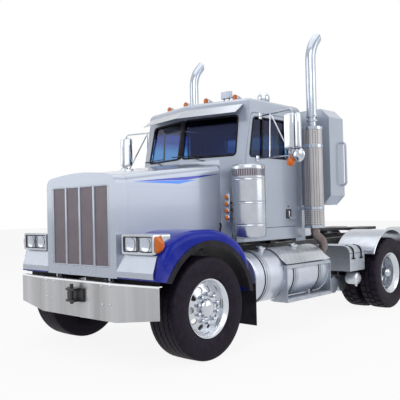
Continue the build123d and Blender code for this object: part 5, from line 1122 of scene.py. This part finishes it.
def makeStack(side, hand):
    t = stack
    x, y, shield = hand * t["x"], t["y"], t["shield"]
    place = at(x, y, 0)
    muffler, bm, elbow = bmesh.new(), bmesh.new(), bmesh.new()
    ends = [(t["lowZ"], t["neck"]), (t["lowZ"], shield), (t["highZ"], shield), (t["highZ"], t["neck"])]
    addLathe(muffler, ends, place, upward, 48)
    for z in (t["lowZ"] + 0.02, t["highZ"] - 0.02):
        addLathe(bm, band(z, 0.02, shield, shield + t["endBand"]), place, upward, 48)
    addRod(bm, at(x, y, t["highZ"] - 0.02), at(x, y, t["collarZ"] + 0.01), t["neck"], 32)
    join(bm, makeTipPipe(x, y))
    for z in (t["collarZ"] + 0.02, t["collarZ"] - 0.045):
        addLathe(bm, band(z, 0.012, t["neck"], t["pipe"] + 0.006), place, upward)
        boltX = x + hand * t["boltX"]
        addRod(bm, at(boltX, y - 0.035, z), at(boltX, y + 0.035, z), 0.007, 8)
    for z in t["clampZ"]:
        addLathe(bm, band(z, 0.02, shield, shield + t["clampBand"]), place, upward, 48)
        addBox(bm, at(hand * t["clampX"], y - 0.06, z), (0.165, 0.04, 0.04), 0.004)
    z1, z2, z3, z4 = t["elbowZ"]
    run = [at(x, y, z1), at(x, y, z2), at(x, t["elbowY"], z3), at(x, t["elbowY"], z4)]
    addPipe(elbow, [*run, at(hand * t["elbowEndX"], t["elbowY"], z4)], t["elbow"], 0.08, 28)
    finish(muffler, f"mufflerShield_{side}", "perforated", "chassis", 40, "exhaust_stacks")
    finish(elbow, f"exhaustElbow_{side}", "burntSteel", "chassis", 40, "exhaust_stacks")
    finish(bm, f"stackPipe_{side}", "stackMetal", "chassis", 40, "exhaust_stacks")


for side, hand in truck["handNames"]:
    makeStack(side, hand)


# Tanks, steps and boxes: caps, thin strap rubbers, tread plates, lid straps and an air dryer

tank = {
    "x": 0.875, "z": 0.73, "radius": 0.305, "strapsY": (1.0, 1.56, 2.12), "strapHalf": 0.036, "capsY": (1.18, 1.86),
    "drainsY": (1.36, 2.04), "drainX": 1.05, "capLean": (0.25, 0, 1),
    "cap": ((0, 0.048), (0.022, 0.048), (0.022, 0.058), (0.05, 0.06), (0.056, 0.054), (0.058, 0.02), (0.064, 0.014),
            (0.065, 0)),
}
tankSteps = {
    "x": 1.18, "y": 1.825, "z": (0.452, 0.848), "size": (0.066, 0.94, 0.004), "sheet": 0.322, "sheetWall": 0.005,
    "sheetY": (1.342, 2.308), "sheetFrom": 4, "sheetStep": 6, "sheetCount": 9,
    "foot": ((1.213, 0.872), (1.211, 0.866)),
}
toolBox = {"x": 1.1, "y": (3.02, 3.44), "z": (0.627, 0.982), "bolt": (0.008, 0.005), "boltsUp": (0.04, 0.13, 0.22)}
dryer = {
    "at": (0.86, 3.36, 0.5), "valve": ((1.0, 3.36, 0.42), (1.0, 3.36, 0.385)),
    "profile": ((0, 0), (0, 0.06), (0.01, 0.082), (0.03, 0.09), (0.16, 0.09), (0.175, 0.08), (0.185, 0.05),
                (0.2, 0.046), (0.205, 0)),
}


def addTankTrim(rubber, chromed):
    t = tank
    for y in t["strapsY"]:
        for shift in (-t["strapHalf"], t["strapHalf"]):
            ring = band(y + shift, 0.006, t["radius"] - 0.002, t["radius"] + 0.006, 0.001)
            addLathe(rubber, ring, at(t["x"], 0, t["z"]), rearward, 56)
    lean = Vector(t["capLean"]).normalized()
    for y in t["capsY"]:
        addLathe(chromed, t["cap"], at(t["x"], y, t["z"]) + lean * (t["radius"] - 0.004), lean, 28)
    for y in t["drainsY"]:
        addRod(chromed, at(t["drainX"], y, t["z"] - 0.24), at(t["drainX"], y, t["z"] - 0.285), 0.02, 12, 0.016)


def addStepPlates(plate):
    s = tankSteps
    for z in s["z"]:
        addBox(plate, at(s["x"], s["y"], z), s["size"], 0.0015, 1)
    arc = [math.radians(s["sheetFrom"] + s["sheetStep"] * i) for i in range(s["sheetCount"])]
    lines = []
    for radius, foot in zip((s["sheet"], s["sheet"] - s["sheetWall"]), s["foot"]):
        lines.append([(tank["x"] + radius * math.sin(a), tank["z"] + radius * math.cos(a)) for a in arc] + [foot])
    part = bmesh.new()
    outline = [part.verts.new(at(x, s["sheetY"][0], z)) for x, z in lines[0] + lines[1][::-1]]
    last = len(lines[0])
    quads = [part.faces.new((outline[i], outline[i + 1], outline[-i - 2], outline[-i - 1])) for i in range(last - 1)]
    made = bmesh.ops.extrude_face_region(part, geom=quads)["geom"]
    bmesh.ops.translate(part, vec=(0, s["sheetY"][1] - s["sheetY"][0], 0), verts=vertsOf(made))
    join(plate, part)


def addBoxTrim(rubber, chromed):
    b = toolBox
    x, (low, high), (y1, y2) = b["x"], b["z"], b["y"]
    for y in (y1 + 0.1, y2 - 0.1):
        strap = [at(x - 0.12, y, high + 0.004), at(x + 0.002, y, high - 0.03), at(x + 0.006, y, high - 0.17)]
        addPipe(rubber, strap, 0.009, 0.05, 8)
        addBox(rubber, at(x + 0.008, y, high - 0.18), (0.014, 0.07, 0.022), 0.004)
    addBox(rubber, at(x + 0.0005, (y1 + y2) / 2, high - 0.105), (0.002, y2 - y1 - 0.01, 0.006))
    for y in (y1 + 0.03, y2 - 0.03):
        for rise in b["boltsUp"]:
            addDome(chromed, at(x, y, low + rise), outward, *b["bolt"], 8)


def makeSideFittings():
    rubber, chromed, plate = bmesh.new(), bmesh.new(), bmesh.new()
    addTankTrim(rubber, chromed)
    addStepPlates(plate)
    addBoxTrim(rubber, chromed)
    addLathe(plate, dryer["profile"], at(*dryer["at"]), outward)
    top, bottom = [at(*place) for place in dryer["valve"]]
    addRod(chromed, top, bottom, 0.022, 12, 0.018)
    for part in (rubber, chromed, plate):
        bmesh.ops.recalc_face_normals(part, faces=part.faces)
    bothHands(rubber, chromed, plate)
    finish(rubber, "tankRubbers", "blackRubber", "chassis", 50)
    finish(chromed, "tankCaps", "chrome")
    finish(plate, "stepTreads", "treadPlate")


makeSideFittings()


# Bumper bolts, splash panels, the rolled edges of the rear fenders and the front fenders' liners

trim = {
    "bumperY": -0.762, "boltsXZ": ((0.56, 0.79), (0.56, 0.61), (0.44, 0.6), (0.42, 0.78)), "bolt": (0.012, 0.008),
    "rollX": 1.222, "rollRadius": 0.65, "rollFootZ": 0.843, "roll": 0.011, "rollSteps": 28,
    "panelAt": (0.78, -0.602, 0.807), "panelSize": (0.68, 0.004, 0.094),
    "linerRadius": 0.687, "linerWall": 0.003, "linerX": (0.76, 1.168), "linerFrom": 31, "linerTo": 168,
    "linerSteps": 40,
}


def addFenderRoll(bm, axleY):
    t = trim
    start = math.asin((t["rollFootZ"] - truck["axleZ"]) / t["rollRadius"])
    points = []
    for i in range(t["rollSteps"] + 1):
        angle = start + (math.pi - 2 * start) * i / t["rollSteps"]
        out = Vector((0, math.cos(angle), math.sin(angle))) * t["rollRadius"]
        points.append(Vector((t["rollX"], axleY, truck["axleZ"])) + out)
    for pair in zip(points, points[1:]):
        addRod(bm, *pair, t["roll"], 10)
    for place in points[1:-1]:
        addBall(bm, place, t["roll"], 10, 6)


def addLiner(bm):
    # a thin arch: the section across its foot, turned about the front axle
    t = trim
    part = bmesh.new()
    low, turn = math.radians(t["linerFrom"]), math.radians(t["linerTo"] - t["linerFrom"])
    (x1, x2), outer, inner = t["linerX"], t["linerRadius"], t["linerRadius"] - t["linerWall"]
    foot = [(x1, outer), (x2, outer), (x2, inner), (x1, inner)]
    ring = [part.verts.new(at(x, -r * math.cos(low), truck["axleZ"] + r * math.sin(low))) for x, r in foot]
    for pair in zip(ring, ring[1:] + ring[:1]):
        part.edges.new(pair)
    bmesh.ops.spin(part, geom=part.verts[:] + part.edges[:], axis=(-1, 0, 0), cent=at(0, 0, truck["axleZ"]),
                   angle=turn, steps=t["linerSteps"])
    bmesh.ops.holes_fill(part, edges=[e for e in part.edges if e.is_boundary], sides=4)
    join(bm, part)


def makeTrimPieces():
    t = trim
    bolts, rolls, panels, liners = bmesh.new(), bmesh.new(), bmesh.new(), bmesh.new()
    for x, z in t["boltsXZ"]:
        addDome(bolts, at(x, t["bumperY"], z), ahead, *t["bolt"], 12)
    for axleY in truck["driveAxlesY"]:
        addFenderRoll(rolls, axleY)
    addBox(panels, at(*t["panelAt"]), t["panelSize"], 0.001, 1)
    addLiner(liners)
    bothHands(bolts, rolls, panels, liners)
    finish(bolts, "bumperBolts", "chrome")
    finish(rolls, "fenderRolls", "chrome", "chassis", 60)
    finish(panels, "splashPanels", "blackRubber")
    finish(liners, "fenderLiners", "blackRubber", "hood", 60)


makeTrimPieces()
print("roof, cleaners, stacks and side fittings done")


# Seats: soft pleated pads on the two chairs

seating = {
    "x": 0.43, "cushionAt": (1.665, 1.792), "cushionSize": (0.47, 0.37, 0.1), "backAt": (1.868, 2.06),
    "backSize": (0.46, 0.1, 0.52), "lean": 13, "pleats": 5, "crown": 0.08, "fill": 0.6,
}


def addPad(bm, centre, size, turn, pleatAxis):
    # a rounded block, crowned at its middle, with pleats across its width
    pad = bmesh.new()
    bmesh.ops.create_cube(pad, size=2)
    bmesh.ops.subdivide_edges(pad, edges=pad.edges[:], cuts=15, use_grid_fill=True)
    for vert in pad.verts:
        longest, rounded = max(abs(c) for c in vert.co), sum(abs(c) ** 6 for c in vert.co) ** (1 / 6)
        place = vert.co * (longest / rounded)
        pleat = abs(math.sin(math.pi * seating["pleats"] * (vert.co.x + 1) / 2)) ** 0.5
        place[pleatAxis] *= 1 + seating["crown"] * (2 - vert.co.x ** 2 - pleat)
        vert.co = turn @ Vector([place[i] * size[i] / 2 for i in range(3)]) + centre
    join(bm, pad)


def makeSeatPads():
    s = seating
    level, leaning = Matrix.Identity(3), Matrix.Rotation(math.radians(-s["lean"]), 3, "X")
    for side, hand in truck["handNames"]:
        for name, place, size, turn, axis in (("Cushion", s["cushionAt"], s["cushionSize"], level, 2),
                                              ("Back", s["backAt"], s["backSize"], leaning, 1)):
            bm = bmesh.new()
            addPad(bm, at(hand * s["x"], *place), size, turn, axis)
            finish(bm, f"seat{name}_{side}", "seatCloth", "chassis", 60)


makeSeatPads()


# Camera, lights and floor

studio = {
    "cameraAt": (5.276, -7.053, 1.499), "yaw": 43.02, "pitch": 1.184, "roll": -1.351, "focal": 598.4, "pixels": 400,
    "sensor": 36, "floor": (0.78, 0.78, 0.78), "floorGlow": 0.9, "floorHalf": 60, "world": 0.32,
    "aim": (0, -0.5, 1.4), "lights": (  # place, size and power
        ("keyLight", (6, -8, 8), 7, 430), ("fillLight", (9, 3, 5), 7, 260),
        ("frontLight", (-7, -9, 5), 7, 210), ("topLight", (0, 0, 10), 9, 260),
    ),
}


def whereSeen(tree):
    # 1 for what the camera sees straight on, in a reflection or through glass
    rays = tree.nodes.new("ShaderNodeLightPath")
    kinds = ("Camera", "Glossy", "Transmission")
    direct, glossy, through = [Wire(tree, rays.outputs[f"Is {kind} Ray"]) for kind in kinds]
    return direct.math("MAXIMUM", glossy).math("MAXIMUM", through)


def makeCamera():
    camera = bpy.data.objects.new("camera", bpy.data.cameras.new("camera"))
    bpy.context.scene.collection.objects.link(camera)
    bpy.context.scene.camera = camera
    camera.data.sensor_width = studio["sensor"]
    camera.data.lens = studio["focal"] / studio["pixels"] * studio["sensor"]
    facing = Matrix.Translation(studio["cameraAt"])
    for degrees, axis in ((studio["yaw"], "Z"), (90 + studio["pitch"], "X"), (studio["roll"], "Z")):
        facing = facing @ Matrix.Rotation(math.radians(degrees), 4, axis)
    camera.matrix_world = facing


def makeFloor():
    made, coords, feed = newMaterial("floor", Roughness=0.9)
    feed(Base_Color=coords.noise(0.4, 3).tint(studio["floor"], tuple(c * 0.97 for c in studio["floor"])))
    tree = made.node_tree
    lit = next(item for item in tree.nodes if item.type == "BSDF_PRINCIPLED")
    out = next(item for item in tree.nodes if item.type == "OUTPUT_MATERIAL")
    glow = coords.node("ShaderNodeEmission", {}, {"Color": (1, 1, 1, 1), "Strength": 1.0})
    share = whereSeen(tree) * studio["floorGlow"]
    mixed = coords.node("ShaderNodeMixShader", {}, {0: share, 1: Wire(tree, lit.outputs[0]), 2: glow})
    tree.links.new(mixed.socket, out.inputs["Surface"])
    bm = bmesh.new()
    bmesh.ops.create_grid(bm, x_segments=1, y_segments=1, size=studio["floorHalf"])
    mesh = bpy.data.meshes.new("floor")
    bm.to_mesh(mesh)
    bm.free()
    mesh.materials.append(made)
    floor = bpy.data.objects.new("floor", mesh)
    bpy.context.scene.collection.objects.link(floor)


def makeLights():
    for name, place, size, power in studio["lights"]:
        lamp = bpy.data.objects.new(name, bpy.data.lights.new(name, "AREA"))
        lamp.data.size = size
        lamp.data.energy = power
        lamp.location = place
        lamp.rotation_euler = (Vector(studio["aim"]) - Vector(place)).to_track_quat("-Z", "Y").to_euler()
        bpy.context.scene.collection.objects.link(lamp)
    world = bpy.data.worlds.new("studio")
    bpy.context.scene.world = world
    world.use_nodes = True
    sky = world.node_tree
    sky.nodes.clear()
    strength = whereSeen(sky) * (1 - studio["world"]) + studio["world"]
    background = Wire(sky).node("ShaderNodeBackground", {}, {"Color": (1, 1, 1, 1), "Strength": strength})
    out = sky.nodes.new("ShaderNodeOutputWorld")
    sky.links.new(background.socket, out.inputs["Surface"])


makeCamera()
makeFloor()
makeLights()
bpy.context.scene.view_settings.view_transform = "Standard"
print("studio done")
